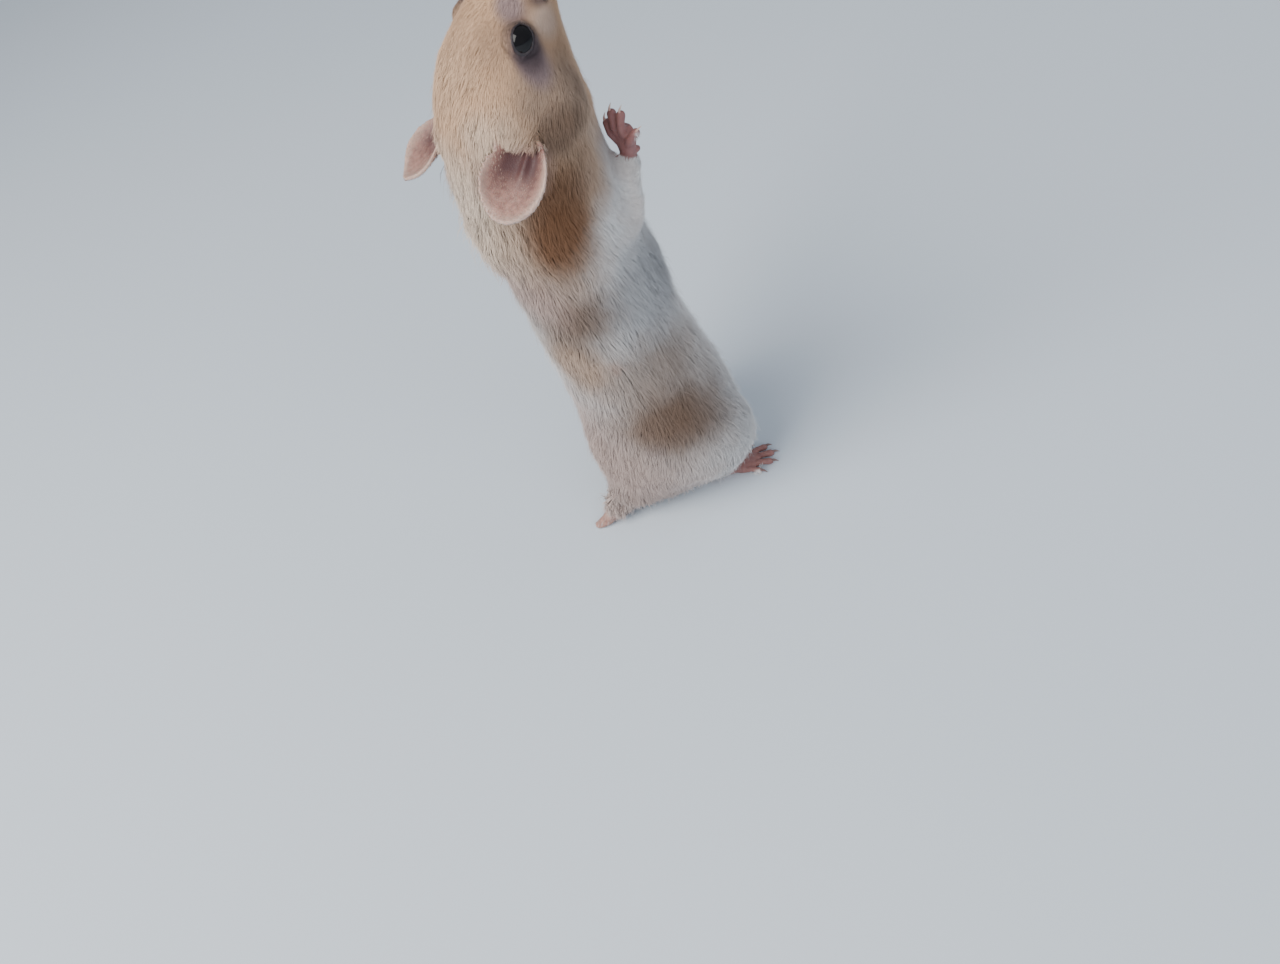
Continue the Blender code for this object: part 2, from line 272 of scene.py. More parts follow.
def oval(bm: BMesh, centre: Vector, half_sizes: Sequence[float],
         turn: Matrix | None = None) -> None:
    """Adds an ellipsoid of three half sizes, in millimetres.

    Args:
        bm: The mesh that it is added to.
        centre: Its middle, in metres.
        half_sizes: Its half sizes, in millimetres.
        turn: How it is turned, if it is.
    """
    place = (turn or Matrix.Identity(4)) @ Matrix.Diagonal((*[s * MM for s in half_sizes], 1.0))
    place.translation = centre
    bmesh.ops.create_uvsphere(bm, u_segments=24, v_segments=16, radius=1.0, matrix=place)


def turned_out(bm: BMesh) -> BMesh:
    """The closed shapes of a bmesh, with every face turned outwards.

    Args:
        bm: The mesh of the shapes.

    Returns:
        The same mesh.
    """
    bmesh.ops.recalc_face_normals(bm, faces=bm.faces)
    if bm.calc_volume(signed=True) < 0.0:
        bmesh.ops.reverse_faces(bm, faces=bm.faces)
    return bm


def linked(name: str, data: bpy.types.ID) -> Object:
    """An object in the scene that shows a mesh, a light or a camera."""
    obj = bpy.data.objects.new(name, data)
    bpy.context.collection.objects.link(obj)
    return obj


def as_object(name: str, bm: BMesh, finish: Material | None = None) -> Object:
    """A smooth object made of a bmesh, at the origin, in its finish if it has one.

    Args:
        name: The object's name.
        bm: Its shape, which is freed.
        finish: Its material, if it has one.

    Returns:
        The object.
    """
    mesh = bpy.data.meshes.new(name)
    bm.to_mesh(mesh)
    bm.free()
    mesh.shade_smooth()
    if finish:
        mesh.materials.append(finish)
    return linked(name, mesh)


def settle(obj: Object) -> None:
    """Replaces an object's mesh with what its modifiers make of it.

    Args:
        obj: The object.
    """
    graph = bpy.context.evaluated_depsgraph_get()
    mesh = bpy.data.meshes.new_from_object(obj.evaluated_get(graph))
    old = obj.data
    obj.modifiers.clear()
    obj.data = mesh
    bpy.data.meshes.remove(old)


def thin(obj: Object, share: float, group: str = "") -> None:
    """Thins an object to a share of its faces, most of all where a group is strong.

    Args:
        obj: The object.
        share: The share that is left.
        group: The name of the vertex group, if there is one.
    """
    modifier = obj.modifiers.new("Thin", "DECIMATE")
    modifier.ratio = share
    modifier.vertex_group = group
    settle(obj)


def fuse(obj: Object, grain: float) -> None:
    """Fuses an object's closed shapes into one surface of small squares.

    Args:
        obj: The object.
        grain: The size of the squares, in millimetres.
    """
    remesh = obj.modifiers.new("Fuse", "REMESH")
    remesh.mode = "VOXEL"
    remesh.voxel_size = grain * MM
    settle(obj)


@dataclass(frozen=True)
class Limits:
    """The box that the model stays in."""

    low: Vector
    high: Vector

    def hold(self, points: np.ndarray, above: float = 0.0) -> np.ndarray:
        """The points, moved into the box and that far above its low corner."""
        return np.clip(points, np.array(self.low) + above, np.array(self.high))


def table(items: bpy.types.bpy_prop_collection, name: str, width: int,
          kind: type) -> np.ndarray:
    """One property of all the items of a mesh, as an array with a row for each.

    Args:
        items: The mesh's points, edges, triangles or corners.
        name: The property.
        width: How many numbers it has.
        kind: The type of a number.

    Returns:
        The array.
    """
    values = np.empty(len(items) * width, kind)
    items.foreach_get(name, values)
    return values.reshape(-1, width)


class Surface:
    """A mesh of squares or triangles whose points are moved as one array."""

    def __init__(self, mesh: Mesh) -> None:
        """Reads the mesh's points, edges and faces.

        Args:
            mesh: The mesh.
        """
        self.mesh = mesh
        mesh.calc_loop_triangles()
        self.points = table(mesh.vertices, "co", 3, np.float32).astype(float)
        self.edges = table(mesh.edges, "vertices", 2, np.int32)
        self.triangles = table(mesh.loop_triangles, "vertices", 3, np.int32)
        ends = np.concatenate((self.edges[:, 0], self.edges[:, 1]))
        self.degree = np.maximum(np.bincount(ends, minlength=len(self.points)), 1)

    def around(self, values: np.ndarray) -> np.ndarray:
        """The mean of each point's neighbours, for one row of values a point.

        Args:
            values: A number or a row for each point.

        Returns:
            As many, each the mean round its point.
        """
        columns = values.reshape(len(values), -1)
        a, b = self.edges[:, 0], self.edges[:, 1]
        total = np.stack([
            np.bincount(a, weights=column[b], minlength=len(column))
            + np.bincount(b, weights=column[a], minlength=len(column))
            for column in columns.T
        ], axis=1)
        return (total / self.degree[:, None]).reshape(values.shape)

    def relax(self, share: np.ndarray | float, rounds: int) -> None:
        """Draws each point towards its neighbours by its share, several times."""
        share = np.broadcast_to(share, len(self.points))[:, None]
        for _ in range(rounds):
            self.points += (self.around(self.points) - self.points) * share

    def spread(self, values: np.ndarray, rounds: int) -> np.ndarray:
        """Values at the points, softened along the surface."""
        for _ in range(rounds):
            values = 0.5 * values + 0.5 * self.around(values)
        return values

    def normals(self) -> np.ndarray:
        """The outward direction at each point.

        Returns:
            A unit vector for each point.
        """
        a, b, c = (self.points[self.triangles[:, i]] for i in range(3))
        faces = np.cross(b - a, c - a)
        total = np.stack([
            sum(np.bincount(self.triangles[:, i], weights=faces[:, k],
                            minlength=len(self.points)) for i in range(3))
            for k in range(3)
        ], axis=1)
        return unit(total)

    def tree(self) -> BVHTree:
        """A tree that finds the nearest place on the surface."""
        return BVHTree.FromPolygons(self.points.tolist(), self.triangles.tolist())

    def write(self) -> None:
        """Puts the moved points back into the mesh."""
        self.mesh.vertices.foreach_set("co", self.points.astype(np.float32).ravel())
        self.mesh.update()


def nearest(tree: BVHTree,
            points: np.ndarray) -> tuple[np.ndarray, np.ndarray, np.ndarray]:
    """The nearest place to each point on a tree's surface, its way out and its face.

    Args:
        tree: The surface's tree.
        points: Places, in metres.

    Returns:
        The places on the surface, the ways and the numbers of the faces.
    """
    found = [tree.find_nearest(point) for point in points.tolist()]
    places, ways, faces = (np.array([hit[i] for hit in found]) for i in range(3))
    return places, ways, faces


def add_field(mesh: Mesh, name: str, values: np.ndarray) -> None:
    """Keeps one number for each point of a mesh, for its material to read."""
    layer = mesh.attributes.new(name, "FLOAT", "POINT")
    layer.data.foreach_set("value", values.astype(np.float32))


# ---- Shader maths --------------------------------------------------------------------

Operand = "Value | float"


class Value:
    """A shader socket that Python's operators work on."""

    def __init__(self, graph: "Graph", socket: bpy.types.NodeSocket) -> None:
        """Wraps an output socket of the graph."""
        self.graph = graph
        self.socket = socket

    def _math(self, operation: str, first: Operand, second: Operand) -> "Value":
        """A Math node of two operands."""
        return self.graph.node("ShaderNodeMath", {"operation": operation},
                               {0: first, 1: second})

    def __add__(self, other: Operand) -> "Value":
        """The sum."""
        return self._math("ADD", self, other)

    __radd__ = __add__

    def __sub__(self, other: Operand) -> "Value":
        """The difference."""
        return self._math("SUBTRACT", self, other)

    def __rsub__(self, other: Operand) -> "Value":
        """The difference from a number."""
        return self._math("SUBTRACT", other, self)

    def __mul__(self, other: Operand) -> "Value":
        """The product."""
        return self._math("MULTIPLY", self, other)

    __rmul__ = __mul__


class Graph:
    """The node tree of one material."""

    def __init__(self, name: str) -> None:
        """Starts an empty material of that name with a Principled shader.

        Args:
            name: The material's name.
        """
        self.material = bpy.data.materials.new(name)
        self.material.use_nodes = True
        self.tree = self.material.node_tree
        self.shader = self.tree.nodes["Principled BSDF"]

    def node(self, kind: str, settings: dict[str, object] | None = None,
             sockets: dict[int | str, object] | None = None, output: int | str = 0) -> Value:
        """Adds a node.

        Args:
            kind: The node's type.
            settings: Its own settings.
            sockets: Values or links of its inputs, by index or name.
            output: The output that is wanted.

        Returns:
            That output.
        """
        made = self.tree.nodes.new(kind)
        for name, setting in (settings or {}).items():
            setattr(made, name, setting)
        for key, value in (sockets or {}).items():
            self.feed(made.inputs[key], value)
        return Value(self, made.outputs[output])

    def feed(self, socket: bpy.types.NodeSocket, value: object) -> None:
        """Links a value to a socket, or sets a plain number or colour on it.

        Args:
            socket: An input of a node.
            value: A value of the graph, a number, a vector or a colour.
        """
        if isinstance(value, Value):
            self.tree.links.new(value.socket, socket)
        elif isinstance(value, tuple) and socket.type == "RGBA":
            socket.default_value = (*value, 1.0)
        else:
            socket.default_value = value

    def mix(self, factor: Operand, first: object, second: object) -> Value:
        """A colour between two, first where the factor is 0."""
        return self.node("ShaderNodeMix", {"data_type": "RGBA", "clamp_factor": True},
                         {0: factor, 6: first, 7: second}, 2)

    def scaled(self, colour: object, amount: Operand) -> Value:
        """A colour made lighter or darker by an amount.

        Args:
            colour: The colour.
            amount: What it is multiplied by.

        Returns:
            The new colour.
        """
        grey = self.node("ShaderNodeCombineColor", {"mode": "RGB"},
                         {0: amount, 1: amount, 2: amount})
        return self.node("ShaderNodeMix", {"data_type": "RGBA", "blend_type": "MULTIPLY"},
                         {0: 1.0, 6: colour, 7: grey}, 2)

    def step(self, low: float, high: float, value: Operand) -> Value:
        """A soft step from 0 at low to 1 at high."""
        return self.node("ShaderNodeMapRange", {"interpolation_type": "SMOOTHSTEP"},
                         {0: value, 1: low, 2: high, 3: 0.0, 4: 1.0})

    def vector(self, operation: str, first: object, second: object) -> Value:
        """A Vector Math node of two operands."""
        return self.node("ShaderNodeVectorMath", {"operation": operation},
                         {0: first, 1: second})

    def noise(self, vector: Value, scale: float, detail: float = 2.0,
              output: int = 0) -> Value:
        """Noise of about 0.5 over space, or its colour with output 1."""
        return self.node("ShaderNodeTexNoise", {},
                         {"Vector": vector, "Scale": scale, "Detail": detail}, output)

    def field(self, name: str) -> Value:
        """A number that the mesh keeps for each of its points."""
        return self.node("ShaderNodeAttribute", {"attribute_name": name}, {}, "Fac")

    def raw(self) -> Value:
        """The object's own coordinates, in metres."""
        return self.node("ShaderNodeTexCoord", {}, {}, "Object")

    def places(self) -> Value:
        """(left, forward, up) in millimetres on the animal's own axes."""
        return self.node("ShaderNodeMapping", {"vector_type": "POINT"}, {
            "Vector": self.raw(),
            "Location": Vector((0.0, MIDDLE / MM, 0.0)),
            "Scale": Vector((1 / MM, -1 / MM, 1 / MM)),
        })

    def finish(self, inputs: dict[str, object]) -> Material:
        """Links or sets the shader's inputs by their names, and gives the material.

        Args:
            inputs: Values or links by the names of the shader's inputs.

        Returns:
            The material.
        """
        for name, value in inputs.items():
            self.feed(self.shader.inputs[name], value)
        return self.material


# ---- Colours of the coat -------------------------------------------------------------

Colour = tuple[float, float, float]


@dataclass(frozen=True)
class Patch:
    """A soft-edged mark on the coat: an oval in space where the colour changes."""

    centre: Place          # (left, forward, up), so the right side has a negative first number
    half_sizes: Place
    colour: Colour
    strength: float
    edge: float            # how much of its size it fades over


WHITE = (0.80, 0.79, 0.78)
PEARL = (0.70, 0.59, 0.54)
CREAM = (0.74, 0.585, 0.455)
BLUSH = (0.49, 0.355, 0.305)
APRICOT = (0.68, 0.43, 0.265)
TAN = (0.45, 0.29, 0.19)
# The neck patch's own golden brown, darkened further by painted shade.
SHADED_BROWN = (0.20, 0.092, 0.042)
UMBER = (0.19, 0.118, 0.078)
# Painted shade: the cool grey that the white belly and flank fur take where they lie in shade.
PAINTED_SHADE_GREY = (0.33, 0.34, 0.36)
GREY_BROWN = (0.32, 0.245, 0.20)
ROSY_TAN = (0.42, 0.27, 0.215)
LILAC = (0.31, 0.232, 0.243)
SMOKE = (0.10, 0.072, 0.080)


@dataclass(frozen=True)
class Markings:
    """The colours that skin and coat share: apricot head, white band, brown patches and some
    painted shade.
    """

    ground: Colour = WHITE
    sway: float = 3.2       # how far the edges wander, in millimetres
    patches: tuple[Patch, ...] = (
        # Rump and haunches.
        Patch((0, -12, 22), (26, 18, 30), BLUSH, 0.9, 0.6),
        Patch((0.4, -23.0, 4.0), (4, 4, 4), BLUSH, 0.8, 0.5),
        # Painted shade: grey on the white fur low on the belly, in front of the haunch.
        Patch((-19, 13, 32), (8, 10, 12), PAINTED_SHADE_GREY, 0.45, 0.6),
        Patch((-19, -3, 58), (10, 14, 9), GREY_BROWN, 0.7, 0.6),
        Patch((-9, -17, 65), (10, 7, 10), TAN, 0.85, 0.65),
        Patch((-16, -10, 63), (2.4, 2.4, 2.4), ROSY_TAN, 0.5, 0.5),
        Patch((-19, -10, 34), (2.8, 3.2, 2.6), LILAC, 0.45, 0.5),
        Patch((-20.5, -2, 45), (16, 17, 18), GREY_BROWN, 0.75, 0.8),
        Patch((-20, -5.5, 42), (12, 9, 8), UMBER, 0.85, 0.6),
        Patch((-22, 2, 38.5), (12, 9, 8), UMBER, 0.7, 0.65),
        Patch((20, -2, 47), (15, 14, 17), GREY_BROWN, 0.75, 0.8),
        Patch((22, -3, 45), (11, 9, 11), UMBER, 0.75, 0.5),
        # Flank and back; the grey on the white flank and belly is painted shade.
        Patch((-15, 6, 77), (12, 16, 12), PAINTED_SHADE_GREY, 0.75, 0.6),
        Patch((14, 8, 76), (12, 14, 12), PAINTED_SHADE_GREY, 0.5, 0.6),
        Patch((-13, -14, 79), (10.5, 9, 9), UMBER, 0.9, 0.7),
        Patch((8, -18, 72), (9, 8, 10), GREY_BROWN, 0.5, 0.6),
        Patch((-4, -19, 90), (13, 9, 12), BLUSH, 0.95, 0.6),
        # Neck and shoulders; the dark brown of the neck patch is its own colour deepened by
        # painted shade.
        Patch((0, -19, 109), (17, 10, 16), CREAM, 0.95, 0.5),
        Patch((-12, 9, 117), (10, 9, 11), GREY_BROWN, 0.5, 0.6),
        Patch((12, 9, 117), (10, 9, 11), GREY_BROWN, 0.45, 0.6),
        Patch((-14.5, -10.5, 101), (12, 9, 14), TAN, 0.85, 0.6),
        Patch((-15, -1, 110), (10, 8.5, 9), TAN, 0.9, 0.5),
        Patch((-16.5, -2, 119), (7, 7.5, 9), UMBER, 0.72, 0.5),
        Patch((-16.5, -6.2, 110.5), (7, 5.8, 8), SHADED_BROWN, 0.75, 0.6),
        Patch((-16, -9.6, 101), (7.5, 6.4, 9.5), SHADED_BROWN, 0.95, 0.6),
        Patch((15, -6, 105), (12, 12, 16), TAN, 0.85, 0.5),
        Patch((16, -8, 107), (7.5, 7, 13), SHADED_BROWN, 0.92, 0.5),
        # Head.
        Patch((0, 3, 138), (26, 28, 26), APRICOT, 1.0, 0.25),
        Patch((0, -11, 135), (8, 8, 12), CREAM, 0.15, 0.6),
        Patch((-11, -12.5, 125), (5, 5, 5), CREAM, 0.6, 0.6),
        Patch((11, -14.5, 124), (5, 5, 5), CREAM, 0.6, 0.6),
        Patch((-8.3, -2.6, 139.0), (4.4, 5.0, 5.0), TAN, 0.75, 0.6),
        Patch((8.3, -2.6, 139.0), (4.0, 4.6, 4.6), TAN, 0.5, 0.6),
        # Under the cheeks: partly the coat's browner colour, partly painted shade.
        Patch((-13, 5.5, 130.5), (8, 9, 9), TAN, 0.75, 0.6),
        Patch((13, 5.5, 130.5), (8, 9, 9), TAN, 0.75, 0.6),
        Patch((-15, 2.5, 126), (7.5, 10, 9), GREY_BROWN, 0.6, 0.55),
        Patch((15, 2.5, 126), (7.5, 10, 9), GREY_BROWN, 0.6, 0.55),
        Patch((0, 15, 126), (6, 5, 14), PEARL, 0.75, 0.5),
        Patch((-16.5, -1, 121), (4.5, 6, 4), UMBER, 0.8, 0.5),
        Patch((16.5, -1, 121), (4.5, 6, 4), UMBER, 0.8, 0.5),
        Patch((-18.5, -13.5, 117.5), (7, 9, 6.5), ROSY_TAN, 0.95, 0.3),
        Patch((-13, -18.0, 117.5), (6.5, 6, 5.5), ROSY_TAN, 0.9, 0.4),
        Patch((13, -19, 117.5), (8.5, 9.5, 6.5), ROSY_TAN, 0.9, 0.3),
    )

    @staticmethod
    def _lay(graph: Graph, colour: Value, where: Value, patch: Patch) -> Value:
        """The colour with one patch laid over it.

        Args:
            graph: The material that it is for.
            colour: The colour so far.
            where: The places, swayed or not.
            patch: The patch.

        Returns:
            The new colour.
        """
        offset = graph.vector("SUBTRACT", where, patch.centre)
        reach = graph.vector("DIVIDE", offset, patch.half_sizes)
        reach = graph.node("ShaderNodeVectorMath", {"operation": "LENGTH"}, {0: reach}, 1)
        inside = 1.0 - graph.step(1.0 - patch.edge, 1.0 + patch.edge, reach)
        return graph.mix(inside * patch.strength, colour, patch.colour)

    def paint(self, graph: Graph, places: Value) -> Value:
        """The coat's colour at each place.

        Args:
            graph: The material that it is for.
            places: (left, forward, up) in millimetres.

        Returns:
            The colour.
        """
        stray = graph.noise(places, scale=0.13, detail=3.0, output=1)
        stray = graph.vector("SUBTRACT", stray, (0.5, 0.5, 0.5))
        stray = graph.vector("MULTIPLY", stray, (self.sway * 2,) * 3)
        swayed = graph.vector("ADD", places, stray)
        blush = graph.step(0.42, 0.72, graph.noise(places, scale=0.16))
        colour = graph.mix(blush * 0.30, self.ground, PEARL)
        for patch in self.patches:
            colour = self._lay(graph, colour, swayed, patch)
        for side in Side:
            for patch in self._face(side.value):
                colour = self._lay(graph, colour, places, patch)
        return colour

    @staticmethod
    def _face(sign: int) -> tuple[Patch, ...]:
        """The smoky rim round one eye, the lilac strip above it and the dark lips ahead.

        Args:
            sign: The side's sign.

        Returns:
            The patches, in the order in which they are laid.
        """
        return (
            Patch((sign * 9.8, 7.4, 137.8), (2.6, 3.2, 2.8), PEARL, 0.4, 0.6),
            Patch((sign * 7.4, 2.8, 143.4), (3.0, 2.8, 5.0), LILAC, 0.85, 0.5),
            Patch((sign * 8.0, 8.8, 141.6), (2.8, 3.0, 1.9), SMOKE, 0.8, 0.5),
            Patch((sign * 12.6, 0.8, 133.6), (4.0, 3.0, 4.4), LILAC, 0.85, 0.5),
            Patch((sign * 12.2, 0.6, 134.8), (3.6, 2.5, 3.4), SMOKE, 0.7, 0.6),
            Patch((sign * 11.0, 1.1, 137.0), (4.4, 3.1, 4.3), SMOKE, 0.92, 0.4),
        )


@dataclass(frozen=True)
class CoatFinish:
    """Soft fur in locks, each a little lighter or darker than its neighbours."""

    name: str = "coat"
    roughness: float = 0.8
    variation: float = 0.12
    root_shade: float = 0.94

    def make(self, markings: Markings) -> Material:
        """Builds the material for those markings.

        Args:
            markings: The colours of the coat.

        Returns:
            The material.
        """
        graph = Graph(self.name)
        colour = markings.paint(graph, graph.places())
        light = 1.0 + (graph.field("tone") - 0.5) * self.variation
        depth = self.root_shade + graph.field("along") * (1.0 - self.root_shade)
        return graph.finish({
            "Base Color": graph.scaled(colour, light * depth),
            "Roughness": self.roughness,
            "Specular IOR Level": 0.25,
            "Sheen Weight": 0.1,
            "Sheen Roughness": 0.5,
        })


@dataclass(frozen=True)
class SkinFinish:
    """Skin: the coat's own colours under the fur, and rosy where it is bare."""

    name: str = "skin"
    bare: Colour = (0.45, 0.25, 0.20)
    deep: Colour = (0.15, 0.062, 0.058)
    dusky: Colour = (0.25, 0.105, 0.105)
    # The ear's darker skin deep in its hollow, with painted shade.
    hollow: Colour = (0.085, 0.036, 0.036)
    rim: Colour = (0.62, 0.45, 0.37)
    lip: Colour = (0.30, 0.14, 0.14)
    lid: Colour = (0.034, 0.026, 0.030)

    def make(self, markings: Markings) -> Material:
        """Builds the material for those markings.

        Args:
            markings: The colours of the coat, which the skin has under it.

        Returns:
            The material.
        """
        graph = Graph(self.name)
        places = graph.places()
        coat = graph.scaled(markings.paint(graph, places), 0.95)
        mottle = graph.step(0.35, 0.7, graph.noise(places, scale=0.9, detail=3.0))
        flesh = graph.mix(mottle * 0.55, self.bare, self.deep)
        fine = graph.noise(places, scale=5.0)
        flesh = graph.scaled(flesh, 0.86 + fine * 0.28)
        flesh = graph.mix(graph.field("dusk") * 0.8, flesh, self.dusky)
        flesh = graph.mix(graph.field("rim") * 0.8, flesh, self.rim)
        # Darker deep in the ear's hollow: partly its skin, partly painted shade.
        flesh = graph.mix(graph.field("hollow"), flesh, self.hollow)
        colour = graph.mix(graph.field("bare"), coat, flesh)
        colour = graph.mix(graph.field("lip"), colour, self.lip)
        colour = graph.mix(graph.field("lid"), colour, self.lid)
        wrinkles = graph.node("ShaderNodeTexVoronoi", {"feature": "DISTANCE_TO_EDGE"},
                              {"Vector": places, "Scale": 2.2})
        relief = graph.step(0.0, 0.25, wrinkles) * 0.5 + fine * 0.5
        return graph.finish({
            "Base Color": colour,
            "Roughness": 0.75 - graph.field("bare") * 0.22 - graph.field("lid") * 0.25,
            "Normal": graph.node(
                "ShaderNodeBump", {},
                {"Strength": 0.35, "Distance": 0.12 * MM, "Height": relief}),
            "Subsurface Weight": 0.18,
            "Subsurface Radius": (0.9, 0.35, 0.2),
            "Subsurface Scale": 1.0 * MM,
        })


@dataclass(frozen=True)
class EyeFinish:
    """A dark wet eye with a faint brown iris."""

    name: str = "eye"

    def make(self) -> Material:
        """Builds the material."""
        graph = Graph(self.name)
        cloud = graph.noise(graph.places(), scale=0.6)
        colour = graph.mix(cloud, (0.002, 0.002, 0.0025), (0.007, 0.006, 0.007))
        return graph.finish({"Base Color": colour, "Roughness": 0.06, "IOR": 1.36})


@dataclass(frozen=True)
class HornFinish:
    """Claws, dark at the root and paler towards the point."""

    name: str
    root: Colour
    tip: Colour

    def make(self) -> Material:
        """Builds the material."""
        graph = Graph(self.name)
        streak = graph.noise(graph.places(), scale=3.0)
        colour = graph.mix(graph.field("along"), self.root, self.tip)
        return graph.finish({"Base Color": graph.scaled(colour, 0.8 + streak * 0.4),
                             "Roughness": 0.35})


# ---- Bare parts: ears, nose, paws and tail -------------------------------------------


@dataclass(frozen=True)
class Ear:
    """A thin cupped ear, folded back."""

    side: Side
    root: Place
    tip: Place
    facing: Place
    length: float = 18.8
    width: float = 13.6
    wall: float = 0.8
    cup: float = 3.4
    trim: float = 0.985     # share of its length and width that the shell has
    fold: float = 1.3       # height of the fold inside
    curl: float = 0.4       # how far the rim waves
    hidden: float = 2.0     # how much of it is in the head

    def axes(self) -> tuple[Vector, Vector, Vector]:
        """The ear's own directions: along it, across it and out of its hollow."""
        along = (at(self.side, self.tip) - at(self.side, self.root)).normalized()
        facing = heading(self.side, self.facing)
        facing = (facing - facing.dot(along) * along).normalized()
        return along, along.cross(facing), facing

    def spine(self) -> list[Vector]:
        """Its middle line, from just outside the head to its tip."""
        along, _, _ = self.axes()
        return [at(self.side, self.root) + along * self.hidden * MM, at(self.side, self.tip)]

    def half_width(self, reach: np.ndarray | float) -> np.ndarray | float:
        """Half the ear's width at a share of its length."""
        swell = np.sin(math.pi / 2 * np.clip(reach / 0.62, 0.0, 1.0))
        return self.width / 2 * (0.62 + 0.38 * swell)

    def hollow(self, x: np.ndarray | float, reach: np.ndarray | float) -> np.ndarray | float:
        """How far its surface stands out at a share of the width and of the length."""
        y = 2.0 * reach - 1.0
        return self.cup * (x * x * (1.25 - 0.75 * reach) + 0.35 * y * y)

    def build(self) -> BMesh:
        """The ear as a closed shell, with a curled rim and a fold inside.

        Returns:
            The shell, from its root at the head to its tip.
        """
        along, across, facing = self.axes()
        root = at(self.side, self.root)
        lean = self.side.value
        bm = bmesh.new()
        bmesh.ops.create_grid(bm, x_segments=26, y_segments=26, size=1.0)
        for vert in bm.verts:
            a, b = vert.co.x, vert.co.y
            x = a * math.sqrt(1 - b * b / 2)
            y = b * math.sqrt(1 - a * a / 2)
            reach = (1 + y) / 2
            rim = max(math.hypot(x, y) - 0.82, 0.0) / 0.18
            fold = math.exp(-((x * lean - 0.25 + 0.25 * reach) / 0.15) ** 2)
            fold *= math.exp(-((reach - 0.34) / 0.22) ** 2)
            wave = math.sin(4.0 * math.atan2(y, x) + 0.6)
            stand = self.hollow(x, reach) + (self.fold * fold + self.curl * rim * wave)
            vert.co = root + (along * (reach * self.length * self.trim)
                              + across * (self.half_width(reach) * x * self.trim)
                              + facing * stand) * MM
        bmesh.ops.solidify(bm, geom=bm.verts[:] + bm.edges[:] + bm.faces[:],
                           thickness=self.wall * MM)
        return turned_out(bm)

    def spans(self, points: np.ndarray) -> tuple[np.ndarray, np.ndarray, np.ndarray]:
        """How points lie on the ear.

        Args:
            points: Places in the frame.

        Returns:
            How much each belongs to the ear, how deep it lies in its hollow, and how near
            it is to the rim, all from 0 to 1.
        """
        along, across, facing = (np.array(axis) for axis in self.axes())
        offset = (points - np.array(at(self.side, self.root))) / MM
        reach = offset @ along / self.length
        x = (offset @ across) / self.half_width(np.clip(reach, 0.0, 1.0))
        stand = offset @ facing - self.hollow(np.clip(x, -1.2, 1.2), reach)
        share = smoothstep(0.06, 0.20, reach) * (1.0 - smoothstep(1.06, 1.14, reach))
        share *= 1.0 - smoothstep(1.12, 1.3, np.abs(x))
        share *= 1.0 - smoothstep(1.6, 2.6, np.abs(stand))
        deep = share * (1.0 - smoothstep(0.45, 0.95, np.abs(x)))
        deep *= 1.0 - smoothstep(0.38, 0.82, reach)
        out = np.hypot(x, np.clip(2.0 * reach - 1.0, 0.0, 1.2))
        return share, deep * smoothstep(-0.9, -0.2, stand), share * smoothstep(0.7, 1.0, out)


@dataclass
class Nose:
    """The bare pad at the tip of the muzzle, with two nostrils."""

    place: Place = (0.0, 13.6, 151.4)
    half_sizes: Place = (1.9, 1.4, 1.2)

    def build(self) -> BMesh:
        """The pad as a rounded lump."""
        bm = bmesh.new()
        oval(bm, at(1, self.place), self.half_sizes)
        return turned_out(bm)


@dataclass
class Digit:
    """One finger or toe on a paw, in the paw's own frame, in millimetres."""

    out: float
    along: float
    spread: float
    length: float
    radius: float

    def path(self, shares: Iterable[tuple[float, float, float]],
             length: float) -> list[tuple[float, ...]]:
        """Rings along the digit from (share of length, height, radius) rows.

        Args:
            shares: The rows.
            length: The length that they are shares of.

        Returns:
            Rings for loft, in the paw's own frame.
        """
        turn = math.radians(self.spread)
        return [
            (self.out + math.sin(turn) * length * t, self.along + math.cos(turn) * length * t,
             up, size, size)
            for t, up, size in shares
        ]

    def flesh(self) -> list[tuple[float, ...]]:
        """Rings of the flesh, fuller at the knuckle and at the tip pad.

        Returns:
            The rings, from the root to the tip.
        """
        r = self.radius
        return self.path((
            (-0.45, 0.5, r), (0.0, 1.1, r), (0.22, 1.42, r * 0.98), (0.42, 1.5, r * 0.84),
            (0.62, 1.36, r * 0.88), (0.84, 1.12, r * 0.95), (0.97, 1.0, r * 0.72),
            (1.03, 0.98, r * 0.3),
        ), self.length)

    def claw(self, reach: float, girth: float) -> list[tuple[float, ...]]:
        """Rings of the claw, which curves down to a point.

        Args:
            reach: How far it stands out of the digit, in millimetres.
            girth: Its half width, in millimetres.

        Returns:
            The rings, from the root to the point.
        """
        ahead = self.length
        return self.path((
            (1 - 0.5 / ahead, 1.35, girth * 0.8), (1.0, 1.40, girth),
            (1 + reach * 0.3 / ahead, 1.32, girth * 0.85),
            (1 + reach * 0.62 / ahead, 1.02, girth * 0.55),
            (1 + reach * 0.86 / ahead, 0.68, girth * 0.3),
            (1 + reach / ahead, 0.45, girth * 0.08),
        ), ahead)


